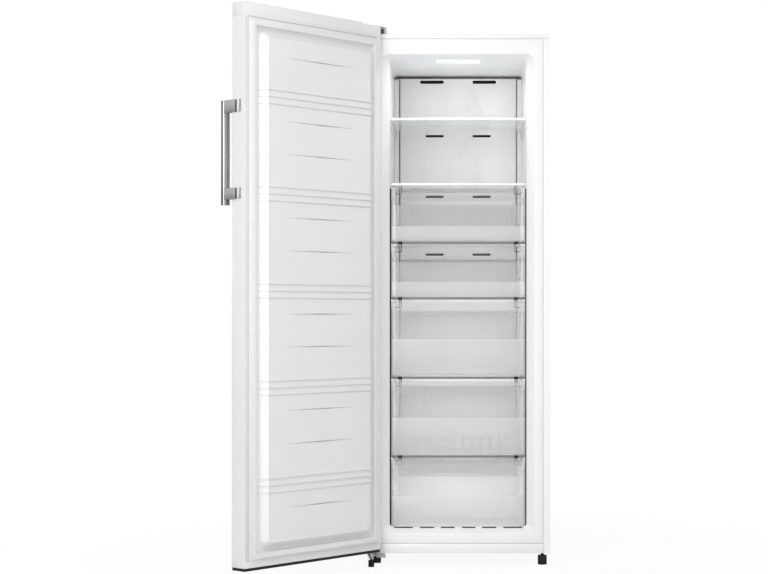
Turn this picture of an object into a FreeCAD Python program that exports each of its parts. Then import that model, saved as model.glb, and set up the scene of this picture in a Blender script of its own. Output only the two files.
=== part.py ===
"""Upright no-frost freezer, 60 cm class, shown with its door swung open. Millimetres, +Z up.

The origin is the centre of the cabinet's footprint on the floor. X runs to the viewer's right, Y runs into
the cabinet and the front faces -Y. Depths are counted back from the cabinet's front plane. The door is
built closed and then turned about its hinge pins to where it stands open.
"""
import FreeCAD
import Part

import math
import os

from FreeCAD import Vector

# ---------------------------------------------------------------- driving sizes: cabinet
cabinet_width = 595.0
cabinet_depth = 583.0
cabinet_height = 1720.0
ground_clearance = 41.0
panel_sheet = 0.6
flange_width = 22.6
flange_hem = 12.0
top_cover_height = 16.0
top_cover_wall = 2.5
rail_height = 31.5
rail_depth = 30.0
rail_sheet = 1.0
bay_height = 216.0
bay_depth = 215.0
bay_slope = 42.0
bay_sheet = 1.0
bay_knee_angle = 22.5

# ---------------------------------------------------------------- driving sizes: cold room
room_width = 444.0
room_floor = 123.0
ceiling_drop = 79.0
room_depth = 505.0
room_corner = 12.0
mouth_depth = 25.0
mouth_side = 24.9
mouth_top = 14.0
mouth_bottom = 17.0
liner_wall = 2.0
step_clearance = 45.0

# ---------------------------------------------------------------- driving sizes: shelves and air duct
compartment_heights = [191.0, 212.0, 188.0, 181.0, 258.0, 256.0, 232.0]
glass_thickness = 4.0
glass_front = 34.0
glass_back_gap = 4.0
glass_side_gap = 4.0
trimmed_shelves = 2
trim_height = 9.0
trim_depth = 13.0
trim_wall = 2.5
rail_ledge = 14.0
rail_wall = 3.0
rail_drop = 24.0
rail_front = 52.0
rail_nose = 10.0
clip_offset = 186.0
clip_width = 8.0
clip_reach = 3.0
clip_height = 9.0
clip_lap = 5.0
duct_depth = 75.0
duct_width = 407.0
duct_drop = 11.0
duct_wall = 2.5
duct_corner = 10.0
slot_drops = [11.0, 18.5, 17.0, 29.5]
slot_start = 50.0
slot_length = 63.0
slot_height = 8.0
top_slot_length = 82.0
top_slot_height = 11.0
slot_end_bevel = 0.3
return_slots = 12
return_slot_width = 8.0
return_slot_height = 60.0
return_slot_rise = 28.0
foam_duct_rise = 110.0
foam_duct_depth = 42.0
air_channel_width = 110.0
air_channel_depth = 30.0

# ---------------------------------------------------------------- driving sizes: drawers
drawer_wall = 2.5
drawer_side_gap = 5.0
drawer_front = 42.0
drawer_front_wall = 3.0
drawer_top_gap = 11.0
drawer_bottom_gap = 4.0
drawer_rim_drop = 42.0
drawer_rim_side = 10.0
drawer_rim_lip = 3.0
drawer_draft = 9.0
drawer_corner = 40.0
drawer_step = 1.6
drawer_steps = [46.0, 46.0, 118.0, 118.0, 94.0]
drawer_back_gap = 10.0
grip_reach = 20.0
grip_wall = 2.5
grip_height = 34.0
grip_bow = 8.0
grip_side_inset = 22.0
grip_flat = 157.0
seat_gap = 0.3
drawer_step_clearance = 10.0

# ---------------------------------------------------------------- driving sizes: lamp
lamp_width = 142.0
lamp_front = 32.0
lamp_depth = 54.0
lamp_height = 6.0
lamp_wall = 1.5
lamp_edge = 2.2
lamp_board_width = 126.0
lamp_board_depth = 12.0
lamp_board_thickness = 1.6

# ---------------------------------------------------------------- driving sizes: evaporator and fan
fan_rise = 118.0
fan_shroud_height = 190.0
fan_shroud_setback = 18.0
fan_shroud_wall = 3.0
fan_radius = 54.0
fan_tip_gap = 3.0
fan_ring_wall = 3.0
fan_ring_depth = 22.0
fan_ring_sides = 24
fan_hub_radius = 17.0
fan_hub_length = 15.0
fan_blade_wall = 1.6
fan_blade_count = 7
fan_blade_pitch = 32.0
fan_shaft_radius = 1.6
fan_motor_radius = 27.0
fan_motor_clearance = 2.0
fan_blade_fill = 0.8
fan_arm_width = 9.0
fan_arm_wall = 3.0
running_fit = 0.05
evaporator_width = 360.0
evaporator_rise = 70.0
evaporator_height = 200.0
evaporator_depth = 56.0
fin_pitch = 12.0
fin_wall = 0.5
coil_radius = 4.0
coil_passes = 5
coil_overhang = 3.0
coil_bevel = 0.3
coil_clearance = 1.0
heater_radius = 3.5
heater_drop = 14.0
gutter_height = 14.0
gutter_wall = 2.0
gutter_overlap = 8.0
drain_radius = 9.0
drain_fit = 0.2
drain_wall = 1.5
drain_sides = 8
drain_drop = 8.0

# ---------------------------------------------------------------- driving sizes: compressor bay
plate_sheet = 2.0
plate_lip = 12.0
compressor_radius = 72.0
compressor_shell_height = 138.0
compressor_dome = 30.0
compressor_seam_level = 88.0
compressor_seam_reach = 3.0
compressor_seam_height = 4.0
compressor_sides = 24
compressor_offset = 60.0
compressor_foot_span = 170.0
compressor_foot_depth = 110.0
compressor_foot_sheet = 3.0
grommet_height = 14.0
grommet_radius = 11.0
grommet_stud_radius = 4.0
grommet_stud_proud = 4.0
tray_height = 26.0
tray_wall = 2.0
tray_width = 170.0
tray_depth = 140.0
terminal_cover_size = (38.0, 56.0, 60.0)
terminal_cover_lap = 11.0
terminal_cover_level = 22.0
control_box_size = (130.0, 60.0, 90.0)
control_box_wall = 2.0
control_lid = 2.5
control_box_offset = 150.0
bay_cover_sheet = 1.0
bay_slot_columns = 7
bay_slot_rows = 3
bay_slot_width = 46.0
bay_slot_height = 6.0
gland_radius = 9.0
gland_bore = 3.6
gland_length = 16.0
gland_flange = 13.0
gland_flange_wall = 2.0
gland_from_box = 70.0
gland_level = 40.0
gland_sides = 8

# ---------------------------------------------------------------- driving sizes: feet and rollers
foot_radius = 14.5
foot_knob_height = 30.0
foot_offset = 274.0
foot_depth = 40.0
foot_stud_radius = 5.0
foot_boss_radius = 10.0
foot_boss_height = 14.0
foot_stud_short = 2.0
foot_sides = 12
hinge_foot_radius = 9.5
hinge_foot_knob_height = 22.0
hinge_foot_stud_radius = 4.0
hinge_foot_nut_radius = 8.5
hinge_foot_nut_gap = 6.0
roller_radius = 20.0
roller_width = 18.0
roller_sides = 36
roller_offset = 245.0
roller_from_back = 40.0
roller_axle_radius = 4.0
roller_cheek = 2.5
roller_side_gap = 1.0
roller_ear_radius = 14.0
roller_ear_reach = 12.0

# ---------------------------------------------------------------- driving sizes: door
door_gap = 11.7
door_thickness = 60.0
door_bottom = 50.0
door_rise = 22.0
door_corner = 8.0
door_sheet = 0.6
door_return = 14.0
top_cap_height = 42.0
bottom_trim_height = 9.0
bottom_trim_inset = 1.0
bottom_cap_height = 23.0
cap_wall = 2.5
cap_lap = 8.0
hinge_recess_length = 81.0
hinge_recess_depth = 4.0
door_liner_wall = 2.0
plug_depth = 25.0
plug_side = 56.6
plug_taper = 18.0
plug_from_bottom = 62.0
plug_from_top = 82.0
plug_corner = 30.0
rib_spans = [192.0, 290.0, 291.0, 290.5, 292.0, 192.5]
rib_spacing = 20.5
rib_height = 8.0
rib_depth = 3.0
crease_above_rib = 118.0
crease_below_rib = 73.5
crease_length = 286.0
crease_width = 7.0
crease_depth = 1.5
gasket_side = 21.0
gasket_from_bottom = 34.0
gasket_from_top = 50.0
gasket_width = 20.0
gasket_base = 4.0
gasket_neck = 3.0
gasket_neck_width = 12.0
gasket_head_width = 17.0
gasket_gap = 0.3

# ---------------------------------------------------------------- driving sizes: hinges
hinge_from_side = 17.8
hinge_forward = 36.0
door_open_angle = 130.0
pin_radius = 5.0
pin_length = 24.0
bush_radius = 8.0
bush_length = 26.0
bush_sides = 8
bracket_sheet = 3.0
bracket_width = 57.0
bracket_back = 60.0
bracket_tip_radius = 14.0
bracket_edge = 6.0
bracket_gap = 0.3
bracket_setback = 2.0
bracket_tip_shift = 2.0
hinge_cover_wall = 1.5
hinge_cover_gap = 3.0
lower_bracket_lip = 14.0
lower_bracket_reach = 70.0
support_block_width = 25.0
support_block_depth = 28.0
support_block_height = 30.0
support_block_from_pin = 4.0
support_block_setback = 8.0

# ---------------------------------------------------------------- driving sizes: handle
handle_bar_width = 26.0
handle_bar_depth = 14.0
handle_bar_wall = 3.0
handle_bar_length = 313.0
handle_from_top = 289.0
handle_standoff = 25.0
handle_overhang = 5.0
handle_bracket_drops = [0.0, 263.0]
handle_bracket_heights = [38.0, 34.0]
handle_bracket_width = 18.0
handle_bracket_back = 24.0
handle_seam = 2.5
handle_cap_length = 16.0
handle_cap_height_inset = 0.5

# ---------------------------------------------------------------- places worked out from the sizes
def levels_down(top, bottom, spans):
    """Heights that part the way from top to bottom in the proportions of these spans."""
    share = (top - bottom) / sum(spans)
    return [top - share * sum(spans[:index + 1]) for index in range(len(spans) - 1)]


half_width = cabinet_width / 2
front = -cabinet_depth / 2
back = cabinet_depth / 2
side_top = cabinet_height - top_cover_height
flange_inner = half_width - flange_width
half_room = room_width / 2
rail_top = ground_clearance + rail_height
room_ceiling = cabinet_height - ceiling_drop
shelf_levels = levels_down(room_ceiling, room_floor, compartment_heights)
bay_top = ground_clearance + bay_height
bay_front = cabinet_depth - bay_depth
step_front = bay_front - step_clearance
step_top = bay_top + step_clearance
duct_bottom = step_top
duct_front = room_depth - duct_depth
duct_top = room_ceiling - duct_drop
slot_levels = [base - drop for base, drop in zip([duct_top] + shelf_levels, slot_drops)]
return_slot_bottom = duct_bottom + return_slot_rise
evaporator_bottom = duct_bottom + evaporator_rise
fan_level = evaporator_bottom + evaporator_height + fan_rise
fan_shroud_front = duct_front + fan_shroud_setback
foam_duct_bottom = fan_level + foam_duct_rise
glass_back = duct_front - glass_back_gap
drawer_back = duct_front - drawer_back_gap
door_top = cabinet_height + door_rise
plug_bottom = door_bottom + plug_from_bottom
plug_top = door_top - plug_from_top
rib_levels = levels_down(plug_top, plug_bottom, rib_spans)
gasket_bottom = door_bottom + gasket_from_bottom
gasket_top = door_top - gasket_from_top
handle_bar_top = door_top - handle_from_top
handle_bar_bottom = handle_bar_top - handle_bar_length
handle_bracket_tops = [handle_bar_top - drop for drop in handle_bracket_drops]
glass_half = half_room - glass_side_gap
door_inner = front - door_gap
door_outer = door_inner - door_thickness
hinge_x = -half_width + hinge_from_side
hinge_y = front - hinge_forward
cap_low = door_bottom + bottom_trim_height
liner_low = cap_low + bottom_cap_height
liner_high = door_top - top_cap_height
pivot = Vector(hinge_x, hinge_y, 0)


# ---------------------------------------------------------------- helpers
def at(depth):
    """Y of a plane that lies this far behind the cabinet's front plane."""
    return front + depth


def box(x0, x1, y0, y1, z0, z1):
    """Box between two corners."""
    return Part.makeBox(x1 - x0, y1 - y0, z1 - z0, Vector(x0, y0, z0))


def rod(radius, x, y, z, length, axis):
    """Cylinder from a point along an axis."""
    return Part.makeCylinder(radius, length, Vector(x, y, z), axis)


def prism_ring(radius, sides, x, y, z):
    """Level outline with this many sides whose flats touch a circle of this radius."""
    corner = radius / math.cos(math.pi / sides)
    turns = [2 * math.pi * (index + 0.5) / sides for index in range(sides + 1)]
    return Part.makePolygon([Vector(x + corner * math.cos(a), y + corner * math.sin(a), z) for a in turns])


def prism(radius, sides, x, y, z, height):
    """Upright prism whose flats touch a circle of this radius."""
    return block_from(prism_ring(radius, sides, x, y, z), Vector(0, 0, height))


def prism_along_y(radius, sides, x, y, z, length):
    """Level prism that points into the cabinet."""
    shape = prism(radius, sides, 0, 0, 0, length)
    shape.rotate(Vector(0, 0, 0), Vector(1, 0, 0), -90)
    shape.translate(Vector(x, y, z))
    return shape


X_AXIS = Vector(1, 0, 0)
Y_AXIS = Vector(0, 1, 0)
Z_AXIS = Vector(0, 0, 1)
AXIS_TOLERANCE = 1e-6


def joined(shapes):
    """One solid from overlapping or touching solids."""
    result = shapes[0]
    if len(shapes) > 1:
        result = result.multiFuse(shapes[1:])
    return result.removeSplitter()


def less(shape, tools):
    """A solid with every tool cut out of it."""
    return shape.cut(Part.makeCompound(tools)).removeSplitter()


def mirrored(shape):
    """The same shape on the other side of the middle plane."""
    return shape.mirror(Vector(0, 0, 0), X_AXIS)


def rounded_wire(u0, u1, v0, v1, radii, place):
    """Rectangle with four corner radii, given anticlockwise from (u0, v0); a zero leaves a sharp corner."""
    corners = [(u0, v0), (u1, v0), (u1, v1), (u0, v1)]
    inward = [(1, 1), (-1, 1), (-1, -1), (1, -1)]
    start = [180, 270, 0, 90]
    edges = []
    ends = []
    for (u, v), (du, dv), angle, radius in zip(corners, inward, start, radii):
        centre_u = u + du * radius
        centre_v = v + dv * radius
        turn = [math.radians(angle + step) for step in (0, 45, 90)]
        points = [place(centre_u + radius * math.cos(a), centre_v + radius * math.sin(a)) for a in turn]
        ends.append(points)
        if radius > 0:
            edges.append(Part.Arc(*points).toShape())
    for index, points in enumerate(ends):
        following = ends[(index + 1) % len(ends)]
        edges.append(Part.makeLine(points[2], following[0]))
    return Part.Wire(Part.__sortEdges__(edges))


def rounded_plan(x0, x1, y0, y1, z, radii):
    """Rounded rectangle lying flat at one height."""
    return rounded_wire(x0, x1, y0, y1, radii, lambda u, v: Vector(u, v, z))


def rounded_front(x0, x1, z0, z1, y, radius):
    """Rounded rectangle standing parallel to the front at one depth."""
    return rounded_wire(x0, x1, z0, z1, [radius] * 4, lambda u, v: Vector(u, y, v))


def block_from(wire, direction):
    """Solid swept straight from a closed wire."""
    return Part.Face(wire).extrude(direction)


def solid_from(faces):
    """Solid closed in by these faces."""
    shell = Part.makeShell(faces)
    shell.sewShape()
    solid = Part.Solid(shell)
    if solid.Volume < 0:
        solid.reverse()
    return solid


def tapered(low, high):
    """Solid between two like outlines: flat sides, and cones where the corners share an axis."""
    sides = []
    for first, second in zip(low.Edges, high.Edges):
        if isinstance(first.Curve, Part.Line):
            start, end = [vertex.Point for vertex in first.Vertexes]
            far = sorted((vertex.Point for vertex in second.Vertexes), key=end.distanceToPoint)
            sides.append(Part.Face(Part.makePolygon([start, end] + far + [start])))
        elif (second.Curve.Center - first.Curve.Center).cross(first.Curve.Axis).Length < AXIS_TOLERANCE:
            slant = Part.makeLine(*[arc.valueAt(arc.FirstParameter) for arc in (first, second)])
            turn = math.degrees(first.LastParameter - first.FirstParameter)
            sides.append(slant.revolve(first.Curve.Center, first.Curve.Axis, turn))
        else:
            sides.append(Part.makeRuledSurface(first, second))
    return solid_from([Part.Face(low), Part.Face(high)] + sides)


def side_profile(points, x0, x1):
    """Solid from a closed outline in the Y-Z plane, drawn between two X values."""
    wire = Part.makePolygon([Vector(x0, y, z) for y, z in points] + [Vector(x0, *points[0])])
    return block_from(wire, Vector(x1 - x0, 0, 0))


def drain_hole(z, length):
    """Cutter for the way of the drain tube."""
    return prism(drain_radius + drain_fit, drain_sides, compressor_offset, coil_y, z, length)


def swung(shape):
    """A door piece turned from the closed door to the open one."""
    turned = shape.copy()
    turned.rotate(pivot, Z_AXIS, -door_open_angle)
    return turned


def save(name, shape):
    """Write one node."""
    shape.exportStep(os.path.join("parts", name + ".step"))


# ---------------------------------------------------------------- cabinet shell
def side_panel():
    """Right side sheet with its front flange and the hem that holds the liner's edge."""
    sheet = box(half_width - panel_sheet, half_width, front, back, ground_clearance, side_top)
    flange = box(flange_inner, half_width, front, front + panel_sheet, ground_clearance, side_top)
    hem = box(flange_inner, flange_inner + panel_sheet, front, at(flange_hem), ground_clearance, side_top)
    return joined([sheet, flange, hem])


def top_cover():
    """Moulded cover over the top of the cabinet, open below."""
    outer = box(-half_width, half_width, front, back, side_top, cabinet_height)
    edges = [edge for edge in outer.Edges if edge.CenterOfMass.z > cabinet_height - 1]
    outer = outer.makeFillet(top_cover_wall, edges)
    inner = box(
        -half_width + top_cover_wall, half_width - top_cover_wall,
        front + top_cover_wall, back - top_cover_wall,
        side_top, cabinet_height - top_cover_wall,
    )
    return outer.cut(inner)


def back_panel():
    """Flat rear sheet above the compressor bay."""
    inside = half_width - panel_sheet
    return box(-inside, inside, back - panel_sheet, back, bay_top, side_top)


def bottom_front_rail():
    """Channel across the bottom of the front."""
    outer = box(-flange_inner, flange_inner, front, at(rail_depth), ground_clearance, rail_top)
    inner = box(
        -flange_inner, flange_inner, front + rail_sheet, at(rail_depth),
        ground_clearance + rail_sheet, rail_top - rail_sheet,
    )
    return outer.cut(inner)


def base_pan():
    """Bottom sheet that steps up and slopes over the compressor bay."""
    inside = half_width - panel_sheet
    low = ground_clearance
    knee = bay_top - bay_slope
    lean = bay_sheet * math.tan(math.radians(bay_knee_angle))
    points = [
        (at(rail_depth), low),
        (at(bay_front), low),
        (at(bay_front), knee),
        (at(bay_front + bay_slope), bay_top),
        (back - panel_sheet, bay_top),
        (back - panel_sheet, bay_top + bay_sheet),
        (at(bay_front + bay_slope) - lean, bay_top + bay_sheet),
        (at(bay_front) - bay_sheet, knee + lean),
        (at(bay_front) - bay_sheet, low + bay_sheet),
        (at(rail_depth), low + bay_sheet),
    ]
    pan = joined([side_profile(points, -inside, inside), foot_boss()])
    outlet = drain_hole(bay_top - 1, bay_sheet + 2)
    return less(pan, [outlet, foot_bore()])


# ---------------------------------------------------------------- cold room
def room_form(grow):
    """Filled shape of the cold room with its flared mouth, grown outwards all round."""
    mouth = tapered(
        rounded_front(
            -half_room - mouth_side - grow, half_room + mouth_side + grow,
            room_floor - mouth_bottom - grow, room_ceiling + mouth_top + grow, front, room_corner * 2,
        ),
        rounded_front(
            -half_room - grow, half_room + grow,
            room_floor - grow, room_ceiling + grow, at(mouth_depth), room_corner,
        ),
    )
    main = block_from(
        rounded_front(
            -half_room - grow, half_room + grow,
            room_floor - grow, room_ceiling + grow, at(mouth_depth), room_corner,
        ),
        Vector(0, room_depth - mouth_depth + grow, 0),
    )
    lean = grow * math.tan(math.radians(bay_knee_angle))
    knee = step_top - bay_slope
    far = at(room_depth) + 2 * grow + 1
    low = room_floor - 2 * grow - 1
    step = side_profile([
        (at(step_front) + grow, low),
        (at(step_front) + grow, knee - lean),
        (at(step_front + bay_slope) + lean, step_top - grow),
        (far, step_top - grow),
        (far, low),
    ], -half_room - 2 * grow - 1, half_room + 2 * grow + 1)
    return joined([mouth, main]).cut(step)


def inner_liner():
    """One formed sheet: front flange, flared mouth, walls, and the step over the compressor bay."""
    flange = box(-flange_inner, flange_inner, front, front + liner_wall, rail_top, side_top)
    shell = joined([flange, room_form(liner_wall)])
    outlet = drain_hole(step_top - liner_wall - 1, liner_wall + 2)
    return less(shell, [room_form(0), outlet])


def cabinet_foam():
    """Insulation that fills the space between the outer sheets and the liner."""
    inside = half_width - panel_sheet
    cover_inside = half_width - top_cover_wall
    main = box(-inside, inside, at(flange_hem), back - panel_sheet, ground_clearance + bay_sheet, side_top)
    crown = box(
        -cover_inside, cover_inside, at(flange_hem), back - top_cover_wall,
        side_top, cabinet_height - top_cover_wall,
    )
    knee = bay_top - bay_slope
    lean = bay_sheet * math.tan(math.radians(bay_knee_angle))
    bay = side_profile([
        (at(bay_front) - bay_sheet, ground_clearance),
        (at(bay_front) - bay_sheet, knee + lean),
        (at(bay_front + bay_slope) - lean, bay_top + bay_sheet),
        (back, bay_top + bay_sheet),
        (back, ground_clearance),
    ], -half_width, half_width)
    rail = box(-half_width, half_width, front, at(rail_depth), ground_clearance, rail_top)
    outlet = drain_hole(bay_top, step_top - bay_top)
    return less(joined([main, crown]), [room_form(liner_wall), bay, rail, outlet, foot_boss()])


def foot_boss():
    """Threaded boss in the base above the levelling foot, filled."""
    return prism(
        foot_boss_radius, foot_sides, foot_offset, at(foot_depth), ground_clearance, foot_boss_height,
    )


# ---------------------------------------------------------------- shelves
def shelf_glass(level):
    """One glass shelf, named by its top face."""
    return box(-glass_half, glass_half, at(glass_front), at(glass_back), level - glass_thickness, level)


def shelf_trim(level):
    """Front profile slipped over the glass edge of an open shelf."""
    middle = level - glass_thickness / 2
    outer = box(
        -glass_half, glass_half, at(glass_front) - trim_wall, at(glass_front) + trim_depth - trim_wall,
        middle - trim_height / 2, middle + trim_height / 2,
    )
    edges = [edge for edge in outer.Edges if abs(edge.CenterOfMass.y - at(glass_front) + trim_wall) < 0.1]
    edges = [edge for edge in edges if edge.Length > trim_height + 1]
    outer = outer.makeFillet(trim_wall, edges)
    return outer.cut(shelf_glass(level))


def shelf_rail(level):
    """Right-hand support under one shelf: a ledge with a web against the wall and a bevelled nose."""
    top = level - glass_thickness
    wall = half_room
    ledge = box(wall - rail_ledge, wall, at(rail_front), at(glass_back), top - rail_wall, top)
    web = side_profile([
        (at(glass_back), top), (at(rail_front - rail_nose / 2), top), (at(rail_front - rail_nose), top - rail_nose),
        (at(rail_front - rail_nose), top - rail_drop + rail_nose / 2),
        (at(rail_front - rail_nose / 2), top - rail_drop), (at(glass_back), top - rail_drop),
    ], wall - rail_wall, wall)
    return joined([ledge, web])


def shelf_rails():
    """Supports on both walls at every level."""
    rails = [shelf_rail(level) for level in shelf_levels]
    return Part.makeCompound(rails + [mirrored(rail) for rail in rails])


def shelf_clips():
    """Clips under the front edge of the lower shelves, flush with the glass so that drawers pass over them."""
    clips = []
    for level in shelf_levels[trimmed_shelves:]:
        for side in (-1, 1):
            x = side * clip_offset
            clip = box(
                x - clip_width / 2, x + clip_width / 2,
                at(glass_front) - clip_reach, at(glass_front) + clip_lap,
                level - clip_height, level,
            )
            clips.append(clip.cut(shelf_glass(level)))
    return Part.makeCompound(clips)


# ---------------------------------------------------------------- drawers
def drawer_space(number):
    """Floor and ceiling heights of the compartment of one drawer."""
    lower = shelf_levels[trimmed_shelves:] + [room_floor]
    upper = shelf_levels[trimmed_shelves - 1:]
    return lower[number], upper[number] - glass_thickness


def tub_wire(inset, z, spread, rear):
    """Plan outline of a drawer's tub at one height, square at the front and with large rear corners."""
    half = half_room - drawer_rim_side + spread - inset
    y0 = at(drawer_front) + inset
    y1 = at(rear) - inset
    radius = drawer_corner - inset
    return rounded_plan(-half, half, y0, y1, z, [0, 0, radius, radius])


def grip_wire(top, y):
    """Front outline of the pull: straight top, and a lower edge that bows down to a flat middle."""
    half = half_room - drawer_side_gap - grip_side_inset
    high = top - grip_height
    low = high - grip_bow
    corners = [
        Vector(-half, y, top), Vector(half, y, top), Vector(half, y, high),
        Vector(grip_flat, y, low), Vector(-grip_flat, y, low), Vector(-half, y, high),
    ]
    return Part.makePolygon(corners + corners[:1])


def drawer(number):
    """Clear one-piece drawer: tapered tub, full-width front with a low step, and a pull along its top."""
    low, high = drawer_space(number)
    rear = step_front - drawer_step_clearance if number == len(drawer_steps) - 1 else drawer_back
    base = low + seat_gap
    rim = high - drawer_rim_drop
    outer = tapered(
        tub_wire(0, base, -drawer_draft, rear - drawer_draft), tub_wire(0, rim, 0, rear),
    )
    inner = tapered(
        tub_wire(drawer_wall, base + drawer_wall, -drawer_draft, rear - drawer_draft),
        tub_wire(drawer_wall, rim + 1, 0, rear),
    )
    lip_outer = block_from(tub_wire(-drawer_rim_lip, rim - drawer_wall, 0, rear), Vector(0, 0, drawer_wall))
    half = half_room - drawer_side_gap
    y0 = at(drawer_front)
    face_low = low + drawer_bottom_gap
    face_high = high - drawer_top_gap
    face = box(-half, half, y0, y0 + drawer_front_wall, face_low, face_high)
    step = box(-half, half, y0 - drawer_step, y0, face_low, face_low + drawer_steps[number])
    pull_y = y0 - grip_reach
    pull = block_from(grip_wire(face_high, pull_y), Vector(0, grip_wall, 0))
    pull_half = half - grip_side_inset
    bridge = box(-pull_half, pull_half, pull_y, y0, face_high - grip_wall, face_high)
    tub = joined([outer, lip_outer]).cut(inner)
    return joined([tub, face, step, pull, bridge])


# ---------------------------------------------------------------- air duct
def slot(x0, x1, z, height):
    """Cutter for one level air slot with bevelled ends, through the duct panel."""
    y = at(duct_front) - 1
    half = height / 2
    cut = height * slot_end_bevel
    outline = [
        (x0 + cut, z - half), (x1 - cut, z - half), (x1, z - half + cut), (x1, z + half - cut),
        (x1 - cut, z + half), (x0 + cut, z + half), (x0, z + half - cut), (x0, z - half + cut),
    ]
    points = [Vector(x, y, level) for x, level in outline]
    return block_from(Part.makePolygon(points + points[:1]), Vector(0, duct_wall + 2, 0))


def duct_slots():
    """Cutters for all air slots, two at each level, and the return slots near the bottom."""
    cutters = []
    for index, level in enumerate(slot_levels):
        length = top_slot_length if index == 0 else slot_length
        height = top_slot_height if index == 0 else slot_height
        cutters.append(slot(slot_start, slot_start + length, level, height))
        cutters.append(slot(-slot_start - length, -slot_start, level, height))
    pitch = duct_width / (return_slots + 1)
    for index in range(return_slots):
        x = -duct_width / 2 + pitch * (index + 1)
        cutters.append(box(
            x - return_slot_width / 2, x + return_slot_width / 2,
            at(duct_front) - 1, at(duct_front) + duct_wall + 1,
            return_slot_bottom, return_slot_bottom + return_slot_height,
        ))
    return cutters


def duct_cover():
    """Shallow tray over the evaporator and the air duct, open below, with slots at every level."""
    half = duct_width / 2
    radii = [duct_corner, duct_corner, 0, 0]
    outer = block_from(
        rounded_plan(-half, half, at(duct_front), at(room_depth), duct_bottom, radii),
        Vector(0, 0, duct_top - duct_bottom),
    )
    inner = box(
        -half + duct_wall, half - duct_wall, at(duct_front + duct_wall), at(room_depth),
        duct_bottom, duct_top - duct_wall,
    )
    corner = duct_corner - duct_wall
    inner_edges = [
        edge for edge in inner.Edges
        if edge.Length > half and abs(edge.CenterOfMass.y - at(duct_front + duct_wall)) < 0.1
        and abs(edge.tangentAt(edge.FirstParameter).z) > 0.9
    ]
    inner = inner.makeFillet(corner, inner_edges)
    return less(outer, [inner] + duct_slots())


def duct_foam():
    """Foam block behind the duct panel with the channels that feed the slots."""
    half = duct_width / 2 - duct_corner
    y0 = at(duct_front + duct_wall)
    y1 = y0 + foam_duct_depth
    top = duct_top - duct_wall
    block = box(-half, half, y0, y1, foam_duct_bottom, top)
    channel_y = y0 + air_channel_depth
    middle = air_channel_width / 2
    cutters = [box(-middle, middle, y0, channel_y, foam_duct_bottom, slot_levels[0] + top_slot_height / 2)]
    for index, level in enumerate(slot_levels):
        reach = slot_start + (top_slot_length if index == 0 else slot_length)
        height = top_slot_height if index == 0 else slot_height * 2
        cutters.append(box(-reach, reach, y0, channel_y, level - height / 2, level + height / 2))
    return less(block, cutters)


# ---------------------------------------------------------------- fan
fan_y = at(fan_shroud_front)
motor_y = fan_y + fan_ring_depth + fan_arm_wall
motor_length = at(room_depth) - motor_y - fan_motor_clearance
ring_outer = fan_radius + fan_tip_gap + fan_ring_wall


def fan_shroud():
    """Plate across the duct with the fan's ring and the three arms of the motor mount."""
    half = duct_width / 2 - duct_wall
    low = fan_level - fan_shroud_height / 2
    plate = box(-half, half, fan_y, fan_y + fan_shroud_wall, low, low + fan_shroud_height)
    ring = prism_along_y(ring_outer, fan_ring_sides, 0, fan_y, fan_level, fan_ring_depth + fan_arm_wall)
    bore = prism_along_y(
        fan_radius + fan_tip_gap, fan_ring_sides, 0, fan_y - 1, fan_level, fan_ring_depth + 2 * fan_arm_wall,
    )
    shroud = joined([plate, ring]).cut(bore)
    arms = []
    for index in range(3):
        arm = box(
            -fan_arm_width / 2, fan_arm_width / 2,
            fan_y + fan_ring_depth, fan_y + fan_ring_depth + fan_arm_wall,
            fan_level, fan_level + ring_outer - 1,
        )
        arm.rotate(Vector(0, 0, fan_level), Y_AXIS, 120.0 * index)
        arms.append(arm)
    eye = prism_along_y(fan_shaft_radius * 3, 8, 0, fan_y, fan_level, fan_ring_depth + 2 * fan_arm_wall)
    return joined([shroud] + arms).cut(eye)


def fan_motor():
    """Eight-sided fan motor behind the arms, bored for the shaft."""
    body = prism_along_y(fan_motor_radius, 8, 0, motor_y, fan_level, motor_length)
    bore = rod(fan_shaft_radius + running_fit, 0, motor_y - 1, fan_level, motor_length / 2 + 1, Y_AXIS)
    return body.cut(bore)


def fan_rotor():
    """Hub with pitched blades and the shaft that runs in the motor."""
    hub_y = fan_y + (fan_ring_depth - fan_hub_length) / 2
    hub = prism_along_y(fan_hub_radius, fan_blade_count * 2, 0, hub_y, fan_level, fan_hub_length)
    shaft_end = motor_y + motor_length / 2 - fan_motor_clearance
    shaft = rod(fan_shaft_radius, 0, hub_y, fan_level, shaft_end - hub_y, Y_AXIS)
    chord = fan_hub_length / math.sin(math.radians(fan_blade_pitch)) * fan_blade_fill
    middle = hub_y + fan_hub_length / 2
    blades = []
    for index in range(fan_blade_count):
        blade = box(
            -chord / 2, chord / 2, middle - fan_blade_wall / 2, middle + fan_blade_wall / 2,
            fan_level + fan_hub_radius - 3, fan_level + fan_radius,
        )
        blade.rotate(Vector(0, middle, fan_level), Z_AXIS, fan_blade_pitch)
        blade.rotate(Vector(0, middle, fan_level), Y_AXIS, 360.0 / fan_blade_count * index)
        blades.append(blade)
    return joined([hub, shaft] + blades)


# ---------------------------------------------------------------- evaporator
coil_y = at(room_depth - evaporator_depth / 2)


def evaporator_fins():
    """Row of thin fins."""
    count = int(evaporator_width / fin_pitch) + 1
    fins = []
    for index in range(count):
        x = -evaporator_width / 2 + index * fin_pitch
        fins.append(box(
            x - fin_wall / 2, x + fin_wall / 2, coil_y - evaporator_depth / 2, coil_y + evaporator_depth / 2,
            evaporator_bottom, evaporator_bottom + evaporator_height,
        ))
    return Part.makeCompound(fins)


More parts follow.
